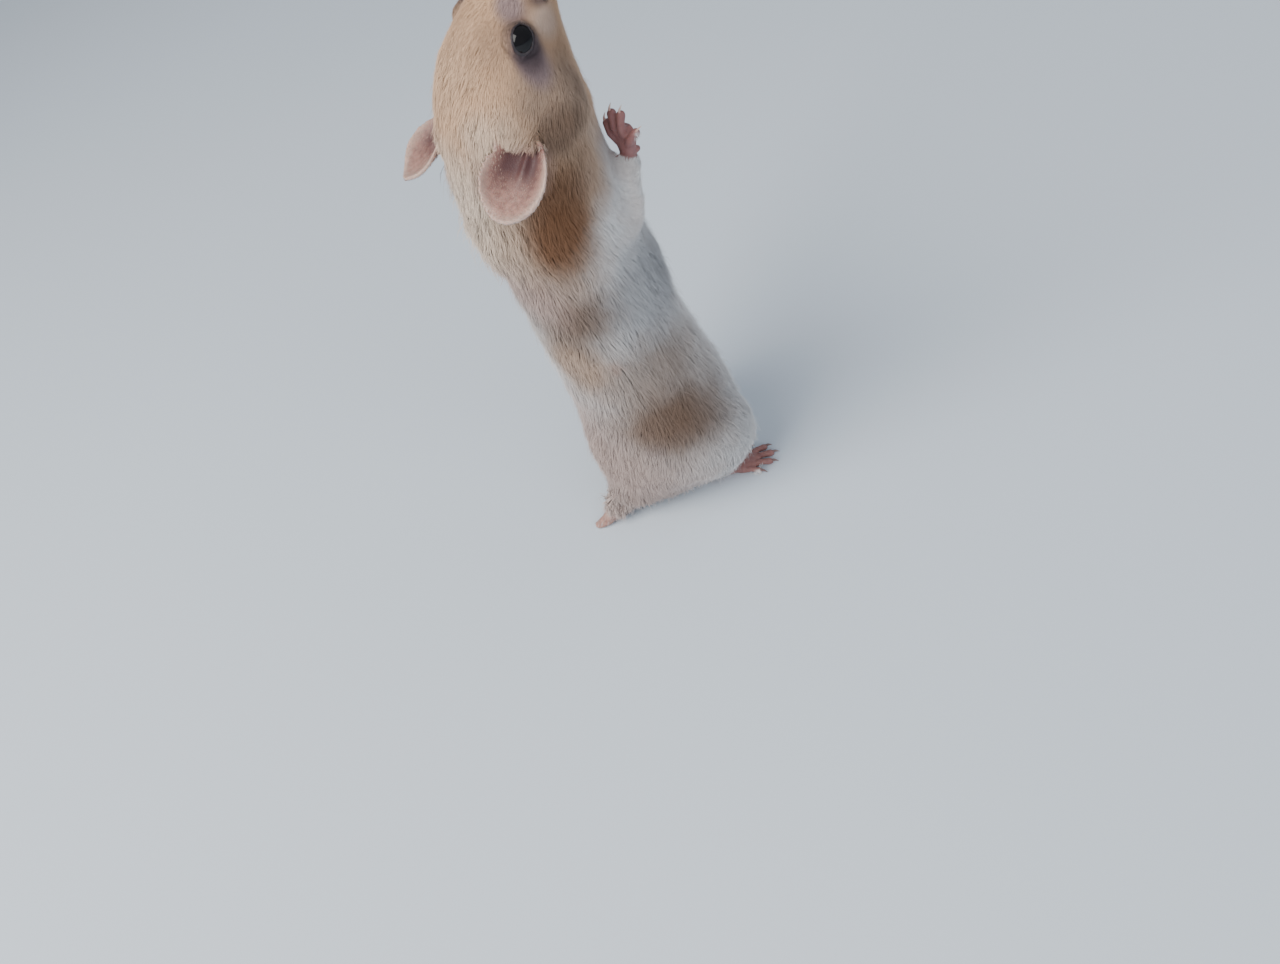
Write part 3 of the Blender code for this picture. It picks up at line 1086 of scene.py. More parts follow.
@dataclass
class Paw:
    """A forepaw or hind foot: stumps, digits with claws, and pads underneath."""

    name: str
    side: Side
    place: Matrix
    stumps: tuple[tuple[tuple[float, ...], ...], ...]
    digits: tuple[Digit, ...]
    pads: tuple[tuple[float, float, float, float], ...]
    claw_reach: float
    claw_girth: float

    def _tube(self, bm: BMesh, stations: Sequence[Sequence[float]], steps: int,
              corners: int) -> None:
        """Adds a smooth tube through stations in the paw's own frame.

        Args:
            bm: The mesh that it is added to.
            stations: Rings in millimetres, as loft takes them.
            steps: How many rings each span gets.
            corners: How many corners a ring has.
        """
        side_axis = self.place.to_3x3() @ Vector((1, 0, 0))
        loft(bm, spline(stations, steps), side_axis, self.place @ Matrix.Scale(MM, 4), corners)

    def build(self) -> BMesh:
        """The flesh of the paw, as closed shapes that overlap.

        Returns:
            The shapes, for the skin to fuse.
        """
        bm = bmesh.new()
        for stump in self.stumps:
            self._tube(bm, stump, steps=5, corners=24)
        for digit in self.digits:
            self._tube(bm, digit.flesh(), steps=3, corners=16)
        for out, along, up, size in self.pads:
            spot = self.place @ Matrix.Scale(MM, 4) @ Vector((out, along, up))
            oval(bm, spot, (size, size, size * 0.8))
        return turned_out(bm)

    def claws(self, finish: Material) -> Object:
        """All the claws of the paw, as one piece.

        Args:
            finish: Their material.

        Returns:
            The piece.
        """
        bm = bmesh.new()
        for digit in self.digits:
            claw = digit.claw(self.claw_reach, self.claw_girth)
            self._tube(bm, claw, steps=3, corners=10)
        claws = as_object(f"claws_{self.name}_{self.side.label}", turned_out(bm), finish)
        surface = Surface(claws.data)
        local = np.array(self.place.inverted()) @ np.c_[
            surface.points, np.ones(len(surface.points))].T
        starts = np.array([[d.out, d.along] for d in self.digits]) * MM
        gaps = np.linalg.norm(local[:2].T[:, None] - starts[None], axis=2).min(axis=1)
        ends = float(gaps.max())
        add_field(claws.data, "along", smoothstep(ends - self.claw_reach * MM, ends, gaps))
        return claws


@dataclass
class Feet:
    """The four paws, placed as the animal holds them."""

    wrist: Place = (10.3, 13.8, 104.6)
    fingers_way: Place = (-0.02, 0.14, 1.0)
    hand_back: Place = (0.25, -1.0, 0.0)
    heel: Place = (8.4, 3.6, 0.0)
    toes_turn: float = 26.0
    sole: tuple[tuple[float, ...], ...] = (
        (0.0, -2.6, 2.4, 1.8, 1.8),
        (0.0, 0.0, 2.0, 2.6, 2.4),
        (0.0, 6.0, 1.6, 2.7, 2.0),
        (0.0, 11.0, 1.5, 3.3, 1.8),
        (0.0, 14.5, 1.2, 3.1, 1.4),
        (0.0, 16.0, 1.0, 2.5, 1.0),
    )
    ankle: tuple[tuple[float, ...], ...] = (
        (0.0, 0.0, 1.8, 2.3, 2.3),
        (0.3, 1.0, 4.4, 2.4, 2.4),
        (0.8, 3.2, 7.2, 2.3, 2.3),
    )
    palm: tuple[tuple[float, ...], ...] = (
        (0.0, -2.8, 0.0, 1.9, 1.7),
        (0.0, 0.8, 0.1, 1.95, 1.5),
        (0.0, 3.4, 0.1, 2.75, 1.5),
        (0.0, 5.6, 0.0, 2.75, 1.3),
        (0.0, 6.8, 0.0, 2.1, 1.0),
    )
    toes: tuple[tuple[float, ...], ...] = (
        (-2.6, 11.0, -26, 4.2, 0.92),
        (-1.9, 14.0, -11, 5.4, 1.0),
        (0.0, 14.8, 0, 5.8, 1.05),
        (1.9, 14.2, 11, 5.4, 1.0),
        (2.9, 11.6, 28, 4.6, 0.92),
    )
    fingers: tuple[tuple[float, ...], ...] = (
        (2.1, 4.6, 22, 3.5, 1.0),
        (0.8, 6.0, 7, 4.3, 1.06),
        (-0.9, 6.0, -6, 4.3, 1.06),
        (-2.2, 4.0, -44, 4.0, 1.0),
    )

    def forepaw(self, side: Side) -> Paw:
        """A raised forepaw, its palm forward and its fingers up.

        Args:
            side: The side that it is on.

        Returns:
            The paw.
        """
        along = heading(side, self.fingers_way)
        back = heading(side, self.hand_back)
        back = (back - back.dot(along) * along).normalized()
        out = along.cross(back) * side.value
        place = Matrix((out, along, back)).transposed().to_4x4()
        place.translation = at(side, self.wrist)
        pads = ((-1.5, 1.2, -1.0, 0.9), (1.5, 1.2, -1.0, 0.9), (-1.5, 4.8, -0.7, 0.8),
                (0.0, 5.4, -0.7, 0.8), (1.5, 4.8, -0.7, 0.8))
        return Paw("forepaw", side, place, (self.palm,),
                   tuple(Digit(*row) for row in self.fingers), pads,
                   claw_reach=1.2, claw_girth=0.30)

    def hind_foot(self, side: Side) -> Paw:
        """A hind foot flat on the floor, heel and all.

        Args:
            side: The side that it is on.

        Returns:
            The foot.
        """
        sign = side.value
        turn = Matrix.Rotation(sign * math.radians(self.toes_turn), 4, "Z")
        forward = Matrix(((sign, 0, 0), (0, -1, 0), (0, 0, 1))).to_4x4()
        place = Matrix.Translation(at(side, self.heel)) @ turn @ forward
        pads = ((-2.0, 11.6, 0.7, 1.0), (2.0, 11.8, 0.7, 1.0), (-0.8, 13.6, 0.6, 0.9),
                (0.9, 13.6, 0.6, 0.9), (0.0, 6.5, 0.8, 1.1))
        return Paw("hind_foot", side, place, (self.sole, self.ankle),
                   tuple(Digit(*row) for row in self.toes), pads,
                   claw_reach=1.7, claw_girth=0.42)


@dataclass
class Tail:
    """The short bare tail, with faint rings, its end on the floor."""

    stations: tuple[tuple[float, ...], ...] = (
        (0.0, -17.0, 8.4, 3.2, 3.2),
        (0.1, -20.0, 6.0, 2.6, 2.5),
        (0.3, -22.8, 3.9, 2.2, 2.1),
        (0.9, -25.4, 2.0, 1.85, 1.7),
        (1.7, -27.5, 1.15, 1.45, 1.2),
        (2.5, -29.1, 0.85, 0.9, 0.8),
    )
    ring_depth: float = 0.05

    def build(self) -> BMesh:
        """The tail as one tapered tube.

        Returns:
            The tube, for the skin to fuse.
        """
        rows = []
        for i, (out, forward, up, width, depth) in enumerate(spline(self.stations, 8)):
            swell = 1.0 + self.ring_depth * math.cos(math.pi * i)
            rows.append((out, -forward, up, width * swell, depth * swell))
        bm = bmesh.new()
        loft(bm, rows, Vector((1, 0, 0)), ON_BODY, segments=20)
        return turned_out(bm)


# ---- How the coat grows --------------------------------------------------------------


@dataclass(frozen=True)
class FurLine:
    """A line, on both sides of the body, near which the coat is different."""

    start: Place
    end: Place

    def gaps(self, points: np.ndarray) -> list[np.ndarray]:
        """Each point's distance from the line of each side, in millimetres."""
        return [to_segment(points, at(side, self.start), at(side, self.end)) / MM
                for side in Side]


@dataclass(frozen=True)
class ShortPlace(FurLine):
    """A line near which the fur is short, growing longer with the distance from it."""

    length: float
    growth: float          # millimetres of fur for each millimetre from the line


@dataclass(frozen=True)
class BarePlace(FurLine):
    """A line near which little or no fur grows."""

    radius: float
    fade: float
    share: float = 0.0     # of the full coat, on the line
    dusk: float = 0.0      # how dark its skin is


@dataclass(frozen=True)
class Stream:
    """A route that the fur follows, from the muzzle towards tail and toes."""

    route: tuple[Place, ...]
    reach: float


@dataclass(frozen=True)
class Ruff:
    """A place, on both sides, where the coat is longer and ruffled."""

    place: Place
    radius: float

    def near(self, points: np.ndarray) -> np.ndarray:
        """How far each point is within it, from 0 to 1."""
        gaps = [np.linalg.norm(points - np.array(at(side, self.place)), axis=1) / MM
                for side in Side]
        return np.exp(-(np.min(gaps, axis=0) / self.radius) ** 2)


@dataclass(frozen=True)
class Growth:
    """Length, lie and cover of the fur over the whole body."""

    ears: tuple[Ear, ...]
    longest: float = 7.2
    rise: float = 0.31      # height of the coat for each millimetre of its length
    ear_length: float = 0.8
    by_ear: float = 5.6     # the fur's length on the head where an ear grows
    from_ear: float = 0.4   # millimetres more for each millimetre from the ear
    ear_reach: float = 3.6  # how far the fur follows an ear
    ruffs: tuple[Ruff, ...] = (
        Ruff((13.5, -7.5, 123.5), 4.5),
        Ruff((10.0, -17.5, 112.0), 7.5),
        Ruff((2.0, -20.0, 104.0), 8.0),
        Ruff((0.4, -21.0, 7.0), 4.5),
    )
    short_places: tuple[ShortPlace, ...] = (
        ShortPlace((0.0, 14.0, 151.4), (0.0, 14.0, 151.4), 0.7, 0.105),
        ShortPlace((10.6, 1.2, 137.6), (10.6, 1.2, 137.6), 0.5, 0.28),
        ShortPlace((0.0, 16.8, 146.5), (8.2, 9.8, 140.8), 0.8, 0.22),
        ShortPlace((10.3, 14.2, 106.2), (10.2, 15.6, 114.0), 0.7, 0.30),
        ShortPlace((12.6, 6.8, 92.4), (10.8, 12.8, 103.0), 1.8, 0.42),
        ShortPlace((9.6, 6.0, 3.0), (16.4, 20.0, 1.5), 0.8, 0.60),
        ShortPlace((8.2, 0.6, 5.0), (9.4, 4.0, 4.5), 1.4, 0.60),
        ShortPlace((0.3, -22.6, 3.9), (2.5, -29.4, 0.8), 0.7, 1.0),
    )
    bare_places: tuple[BarePlace, ...] = (
        BarePlace((0.0, 13.8, 151.8), (0.0, 14.7, 150.8), 1.6, 0.5),
        BarePlace((10.3, 14.2, 106.6), (10.3, 14.6, 109.0), 3.2, 1.2, 0.0, 1.0),
        BarePlace((10.2, 15.2, 110.0), (10.2, 15.8, 114.0), 5.0, 1.0, 0.0, 1.0),
        BarePlace((10.6, 8.2, 1.6), (16.4, 20.0, 1.5), 4.2, 1.8, 0.0, 0.8),
        BarePlace((8.4, 1.0, 0.0), (12.0, 11.0, 0.0), 1.6, 1.0, 0.0, 0.6),
        BarePlace((0.4, -23.6, 3.2), (2.5, -29.4, 0.8), 2.5, 0.9, 0.04),
    )
    streams: tuple[Stream, ...] = (
        Stream(((0, 14, 152), (0, 1, 144.5), (0, -13, 134), (0, -19, 122)), 7),
        Stream(((3, 14.5, 149.5), (7, 10, 143), (13, 4, 132), (16, -2, 119), (17, -7, 106)), 6),
        Stream(((0, 17.2, 147), (0, 15.5, 138), (0, 14.4, 125), (0, 13.2, 110)), 6),
        Stream(((9, 5, 143), (12, -3, 133), (13, -10, 124), (13, -16, 113)), 5),
        Stream(((0, -19, 122), (0, -21, 105), (0, -20, 80), (0, -19, 55), (0, -21, 25),
                (0, -21.5, 7)), 10),
        Stream(((16, -6, 112), (17.5, -4, 90), (19.5, -1, 62), (22.5, -3, 40),
                (19, -6, 14), (17, -6, 4)), 9),
        Stream(((8, 12, 108), (8, 13, 88), (10, 17, 60), (12, 21, 36), (12, 19, 12)), 9),
        Stream(((22, 8, 44), (23, 10, 26), (19, 12, 12), (14, 12, 3)), 7),
        Stream(((11, -2, 104), (12.2, 3, 96), (12.6, 7, 91.6)), 5),
        Stream(((12.6, 8, 91.6), (12.0, 10.5, 97), (10.8, 13, 103), (10.4, 14.4, 111)), 3.4),
        Stream(((0, -19, 8), (0.4, -24, 3), (2.5, -29.4, 0.8)), 3.5),
    )

    def ruffle(self, points: np.ndarray) -> np.ndarray:
        """How ruffled the coat is at each point, from 0 to 1."""
        return np.max([ruff.near(points) for ruff in self.ruffs], axis=0)

    def length(self, points: np.ndarray) -> np.ndarray:
        """The fur's length at each point, in millimetres.

        Args:
            points: Places in the frame.

        Returns:
            One length for each, in millimetres.
        """
        found = self.longest * (1.0 + 0.25 * self.ruffle(points))
        for place in self.short_places:
            for gap in place.gaps(points):
                found = np.minimum(found, place.length + place.growth * gap)
        for ear in self.ears:
            share, _, _ = ear.spans(points)
            gap = to_segment(points, *ear.spine()) / MM
            found = np.minimum(found, self.by_ear + self.from_ear * gap)
            found += share * (self.ear_length - found)
        return found

    def cover(self, points: np.ndarray) -> np.ndarray:
        """The share of the full coat that grows at each point.

        Args:
            points: Places in the frame.

        Returns:
            One share for each, 0 where the skin is bare.
        """
        found = np.ones(len(points))
        for place in self.bare_places:
            for gap in place.gaps(points):
                step = smoothstep(place.radius, place.radius + place.fade, gap)
                found = np.minimum(found, place.share + (1.0 - place.share) * step)
        for ear in self.ears:
            share, deep, _ = ear.spans(points)
            found = np.minimum(found, 1.0 - share * (0.95 + 0.05 * deep))
        return found

    def dusk(self, points: np.ndarray) -> np.ndarray:
        """How dark the bare skin is at each point, from 0 to 1.

        Args:
            points: Places in the frame.

        Returns:
            One number for each.
        """
        found = np.zeros(len(points))
        for place in self.bare_places:
            for gap in place.gaps(points):
                near = 1.0 - smoothstep(place.radius, place.radius + 2.0 * place.fade, gap)
                found = np.maximum(found, place.dusk * near)
        return found

    def lie(self, points: np.ndarray) -> np.ndarray:
        """The way in which the fur points, before it is laid along the skin.

        Args:
            points: Places in the frame.

        Returns:
            A unit vector for each.
        """
        routes = [([at(side, place) for place in stream.route], stream.reach)
                  for stream in self.streams for side in Side]
        routes += [(ear.spine(), self.ear_reach) for ear in self.ears]
        total = np.zeros_like(points)
        for route, reach in routes:
            for a, b in zip(route, route[1:]):
                gap = to_segment(points, a, b) / (reach * MM)
                weight = np.exp(-gap * gap) + 1e-6 / (1.0 + gap * gap)
                total += weight[:, None] * np.array((b - a).normalized())
        return unit(total)


# ---- The skin ------------------------------------------------------------------------


@dataclass
class Socket:
    """An eye's opening: its lids, and the eye in it."""

    side: Side
    place: Place = (9.6, 1.2, 137.3)
    radius: float = 3.05
    facing: Place = (0.90, -0.08, 0.42)
    towards_nose: Place = (-0.1, 0.50, 0.86)
    half_length: float = 50.0     # the opening's half angles, in degrees
    half_height: float = 35.0
    reach: float = 7.0            # how far from its middle the eye shapes the skin
    bed: float = 0.55             # how far inside the eye the skin lies
    crest: float = 0.28           # how far the lids stand out of it
    brow: float = 0.14            # how far the skin round them does, at the least
    bare_span: float = 1.16       # how far out the lids are bare
    bulge: float = 0.025          # of the cornea, as a share of the radius

    def spans(self, points: np.ndarray) -> tuple[np.ndarray, np.ndarray, np.ndarray]:
        """How points lie round the eye.

        Args:
            points: Places in the frame.

        Returns:
            Their distance from the eye's middle in millimetres, their direction from it,
            and how far out they are in the opening, 1 at the edge of the lids.
        """
        facing = heading(self.side, self.facing)
        along = heading(self.side, self.towards_nose)
        along = (along - along.dot(facing) * facing).normalized()
        across = facing.cross(along)
        offset = points - np.array(at(self.side, self.place))
        gap = np.maximum(np.linalg.norm(offset, axis=1), 1e-9)
        way = offset / gap[:, None]
        lean = np.arccos(np.clip(way @ np.array(facing), -1.0, 1.0))
        x, y = way @ np.array(along), way @ np.array(across)
        flat = np.maximum(np.hypot(x, y), 1e-9)
        limit = 1.0 / np.hypot(x / flat / math.radians(self.half_length),
                               y / flat / math.radians(self.half_height))
        return gap / MM, way, lean / limit

    def shape(self, surface: Surface) -> np.ndarray:
        """Opens the skin over the eye and raises the lids round it.

        Args:
            surface: The skin.

        Returns:
            How much each point belongs to the lids, from 0 to 1.
        """
        gap, way, span = self.spans(surface.points)
        near = (gap < self.reach) & (span < 2.4)
        under, crest = self.radius - self.bed, self.radius + self.crest
        wanted = under + (crest - under) * smoothstep(0.90, 1.05, span)
        blend = smoothstep(1.12, 1.8, span)
        wanted = wanted + (gap - wanted) * blend
        wanted = np.where(span > 1.05, np.maximum(wanted, self.radius + self.brow), wanted)
        moved = np.array(at(self.side, self.place)) + way * (wanted * MM)[:, None]
        surface.points[near] = moved[near]
        return np.where(near, 1.0 - smoothstep(1.12, 1.40, span), 0.0)

    def bare(self, points: np.ndarray) -> np.ndarray:
        """Whether each point is on the lids or in the opening, where no fur grows."""
        gap, _, span = self.spans(points)
        return (gap < self.reach) & (span < self.bare_span)

    def ball(self, finish: Material) -> Object:
        """The eye itself, with a slight swell of the cornea.

        Args:
            finish: Its material.

        Returns:
            The piece.
        """
        facing = heading(self.side, self.facing)
        turn = facing.to_track_quat("Z", "Y").to_matrix().to_4x4()
        turn.translation = at(self.side, self.place)
        bm = bmesh.new()
        bmesh.ops.create_uvsphere(bm, u_segments=56, v_segments=36, radius=self.radius * MM)
        for vert in bm.verts:
            swell = max(vert.co.z / (self.radius * MM), 0.0)
            vert.co *= 1.0 + self.bulge * swell ** 3
        bmesh.ops.transform(bm, matrix=turn, verts=bm.verts)
        return as_object(f"eye_ball_{self.side.label}", turned_out(bm), finish)


# How far along its own way each stump ends; the tail's is how far forward, in millimetres.
STUMPS = {"ear": 4.5, "forepaw": 0.5, "hind_foot": 5.0, "tail": -24.2}


@dataclass(frozen=True)
class Groove:
    """A line drawn into the skin, with a soft lip on either side."""

    route: tuple[Place, ...]
    width: float
    depth: float

    def laid(self, tree: BVHTree, sign: int) -> list[Vector]:
        """Its smooth line on the skin, on the side of that sign."""
        rows = spline([at(sign, place) for place in self.route], 6)
        return [tree.find_nearest(Vector(row))[0] for row in rows]


@dataclass
class Skin:
    """The whole skin, from nose to tail, in one closed surface."""

    growth: Growth
    ears: list[Ear]
    paws: list[Paw]
    sockets: list[Socket]
    nose: Nose = field(default_factory=Nose)
    tail: Tail = field(default_factory=Tail)
    furred: tuple[str, ...] = ("head", "neck", "chest", "belly", "rump")
    paired: tuple[str, ...] = ("hind_leg", "foreleg")
    body_grain: float = 0.5
    grain: float = 0.3
    seam: float = 0.22         # how far pieces are swollen, so that they meet and fuse
    sink_rounds: int = 8
    clearance: float = 0.001   # above the floor, so that rounding leaves nothing below it
    triangles: int = 130_000
    mouth: Groove = Groove((
        (0.0, 17.0, 146.6), (1.7, 16.8, 145.6), (3.8, 15.2, 143.8), (6.2, 12.6, 142.0),
        (8.2, 9.8, 140.8),
    ), 0.42, 0.6)
    cleft: Groove = Groove(
        ((0.0, 15.2, 150.6), (0.0, 16.6, 148.8), (0.0, 17.0, 146.6)), 0.34, 0.4)
    pout: float = 0.22         # height of the lips beside a groove
    nostril: Place = (0.95, 14.4, 152.1)

    def _copy(self, node: str, swell: float,
              cut: tuple[Vector, Vector] | None = None) -> BMesh:
        """A merged, swollen copy of a CAD node, capped where it is cut.

        Args:
            node: The node's name.
            swell: How far it is swollen, in millimetres.
            cut: A point and the normal of a plane; what is beyond it goes.

        Returns:
            The copy.
        """
        bm = bmesh.new()
        bm.from_mesh(frame["nodes"][node].data)
        bmesh.ops.remove_doubles(bm, verts=bm.verts, dist=1e-6)
        if cut:
            point, normal = cut
            found = bmesh.ops.bisect_plane(
                bm, geom=bm.verts[:] + bm.edges[:] + bm.faces[:], plane_co=point,
                plane_no=normal, clear_outer=True)
            rim = [e for e in found["geom_cut"] if isinstance(e, BMEdge)]
            bmesh.ops.holes_fill(bm, edges=rim, sides=0)
        bm.normal_update()
        for vert, way in [(v, v.normal.copy()) for v in bm.verts]:
            vert.co += way * swell * MM
        return bm

    def _stumps(self) -> list[BMesh]:
        """What fills the hollows where eyes, ears and paws are set into the body.

        Returns:
            The shapes, for the body to be fused with.
        """
        cuts = {"nose": None}
        for ear in self.ears:
            along, _, _ = ear.axes()
            start = at(ear.side, ear.root)
            cuts[f"ear_{ear.side.label}"] = (start + along * STUMPS["ear"] * MM, along)
            cuts[f"eye_{ear.side.label}"] = None
        for paw in self.paws:
            along = paw.place.to_3x3() @ Vector((0, 1, 0))
            start = paw.place.translation
            end = start + along * STUMPS[paw.name] * MM
            cuts[f"{paw.name}_{paw.side.label}"] = (end, along)
        cuts["tail"] = (at(1, (0, STUMPS["tail"], 0)), Vector((0, 1, 0)))
        return [self._copy(name, 0.4 if cut else 0.35, cut) for name, cut in cuts.items()]

    @staticmethod
    def _both(names: Iterable[str]) -> list[str]:
        """The nodes of both sides for each of those names."""
        return [f"{name}_{side.label}" for name in names for side in Side]

    def nodes(self) -> list[str]:
        """The CAD nodes that the skin stands for."""
        pairs = (*self.paired, "ear", "forepaw", "hind_foot")
        return [*self.furred, "nose", "tail", *self._both(pairs)]

    @staticmethod
    def _gather(name: str, shapes: Iterable[BMesh]) -> Object:
        """One object that holds several closed shapes.

        Args:
            name: The object's name.
            shapes: The shapes, which are freed.

        Returns:
            The object.
        """
        whole = bmesh.new()
        for shape in shapes:
            mesh = bpy.data.meshes.new("shape")
            shape.to_mesh(mesh)
            shape.free()
            whole.from_mesh(mesh)
            bpy.data.meshes.remove(mesh)
        return as_object(name, whole)

    def _sunk_body(self) -> Object:
        """The furred body, lying inside the CAD solids by the coat's depth.

        Returns:
            The body, in small squares.
        """
        names = [*self.furred, *self._both(self.paired)]
        shapes = [self._copy(name, self.seam) for name in names]
        body = self._gather("body", shapes + self._stumps())
        fuse(body, self.body_grain)
        surface = Surface(body.data)
        surface.relax(share=0.5, rounds=3)
        depth = self.growth.length(surface.points) * self.growth.rise + self.seam
        depth = surface.spread(depth, rounds=12)
        for _ in range(self.sink_rounds):
            surface.points -= surface.normals() * (depth * MM / self.sink_rounds)[:, None]
            surface.relax(share=0.35, rounds=1)
        surface.write()
        return body

    def _carve(self, surface: Surface) -> dict[str, np.ndarray]:
        """Opens the eyes and draws mouth, cleft and nostrils into the skin.

        Args:
            surface: The skin.

        Returns:
            How much each point belongs to the lids and to the lips.
        """
        lids = np.zeros(len(surface.points))
        for socket in self.sockets:
            lids = np.maximum(lids, socket.shape(surface))
        tree, normals = surface.tree(), surface.normals()
        lips, push = np.zeros((2, len(surface.points)))
        for groove, sign in ((self.mouth, -1), (self.mouth, 1), (self.cleft, 1)):
            gap = to_route(surface.points, groove.laid(tree, sign)) / MM
            push -= groove.depth * np.exp(-(gap / groove.width) ** 2)
            push += self.pout * np.exp(-((gap - 1.0) / 0.5) ** 2)
            lips = np.maximum(lips, 1.0 - smoothstep(0.35, 0.95, gap))
        for side in Side:
            offset = surface.points - np.array(at(side, self.nostril))
            gap = np.linalg.norm(offset, axis=1) / MM
            push -= 0.75 * np.exp(-(gap / 0.5) ** 2)
            lips = np.maximum(lips, 1.0 - smoothstep(0.25, 0.6, gap))
        surface.points += normals * (push * MM)[:, None]
        return {"lid": lids, "lip": lips}

    def _thin(self, skin: Object, plain: np.ndarray) -> None:
        """Leaves the wanted number of triangles, the fewest where plain is nearest to 1.

        Args:
            skin: The skin.
            plain: One number for each point, from 0 to 1.
        """
        group = skin.vertex_groups.new(name="plain")
        steps = np.round(plain * 10).astype(int)
        for step in range(1, 11):
            group.add(np.flatnonzero(steps == step).tolist(), step / 10, "REPLACE")
        thin(skin, self.triangles / (2 * len(skin.data.polygons)), group.name)
        skin.vertex_groups.clear()

    def build(self, finish: Material, limits: Limits) -> Object:
        """Fuses body and bare parts, carves the face and thins what the coat hides.

        Args:
            finish: The skin's material.
            limits: The box that it stays in.

        Returns:
            The skin.
        """
        body = self._sunk_body()
        log.info("sunk body: %d faces", len(body.data.polygons))
        shapes = [part.build() for part in (*self.ears, *self.paws, self.nose, self.tail)]
        base = bmesh.new()
        base.from_mesh(body.data)
        bpy.data.objects.remove(body)
        skin = self._gather("skin", [base, *shapes])
        fuse(skin, self.grain)
        surface = Surface(skin.data)
        cover = self.growth.cover(surface.points)
        surface.relax(share=0.12 + 0.3 * cover, rounds=4)
        fields = self._carve(surface)
        surface.points = limits.hold(surface.points, self.clearance * MM)
        surface.write()
        length = self.growth.length(surface.points)
        plain = cover * smoothstep(2.0, 4.0, length) * (1.0 - np.clip(
            fields["lid"] + fields["lip"], 0.0, 1.0))
        fields["bare"] = 1.0 - np.clip(cover * 1.6 - 0.3, 0.0, 1.0)
        fields["dusk"] = self.growth.dusk(surface.points)
        # The hollow field also paints shade deep in each ear's hollow.
        _, fields["hollow"], fields["rim"] = np.max(
            [ear.spans(surface.points) for ear in self.ears], axis=0)
        for name, values in fields.items():
            add_field(skin.data, name, values)
        self._thin(skin, plain)
        skin.data.materials.clear()
        skin.data.materials.append(finish)
        skin.data.shade_smooth()
        log.info("skin: %d faces", len(skin.data.polygons))
        return skin


# ---- The coat ------------------------------------------------------------------------


# A lock is a closed blade: its root, the right, left and crest of its bend, and its tip.
BLADE_ALONG = (0.0, 0.55, 0.55, 0.55, 1.0)
BLADE_FACES = np.array((0, 2, 1, 0, 3, 2, 0, 1, 3, 1, 2, 4, 2, 3, 4, 3, 1, 4))
BLADE_UNWRAP = np.array((
    (0.83, 0.0), (1.0, 0.5), (0.67, 0.5), (0.5, 0.0), (0.33, 0.5), (0.66, 0.5),
    (0.17, 0.0), (0.0, 0.5), (0.33, 0.5), (0.67, 0.5), (1.0, 0.5), (0.83, 1.0),
    (0.66, 0.5), (0.33, 0.5), (0.5, 1.0), (0.33, 0.5), (0.0, 0.5), (0.17, 1.0),
)) - 0.5


@dataclass(frozen=True)
class Stray:
    """How a lock that stands out of the coat differs from the others."""

    share: float = 0.10    # of all the locks
    swing: float = 3.0     # how many times as far to the side it points
    lift: float = 1.65     # how many times as high it stands
    girth: float = 0.6     # how many times as thick it is


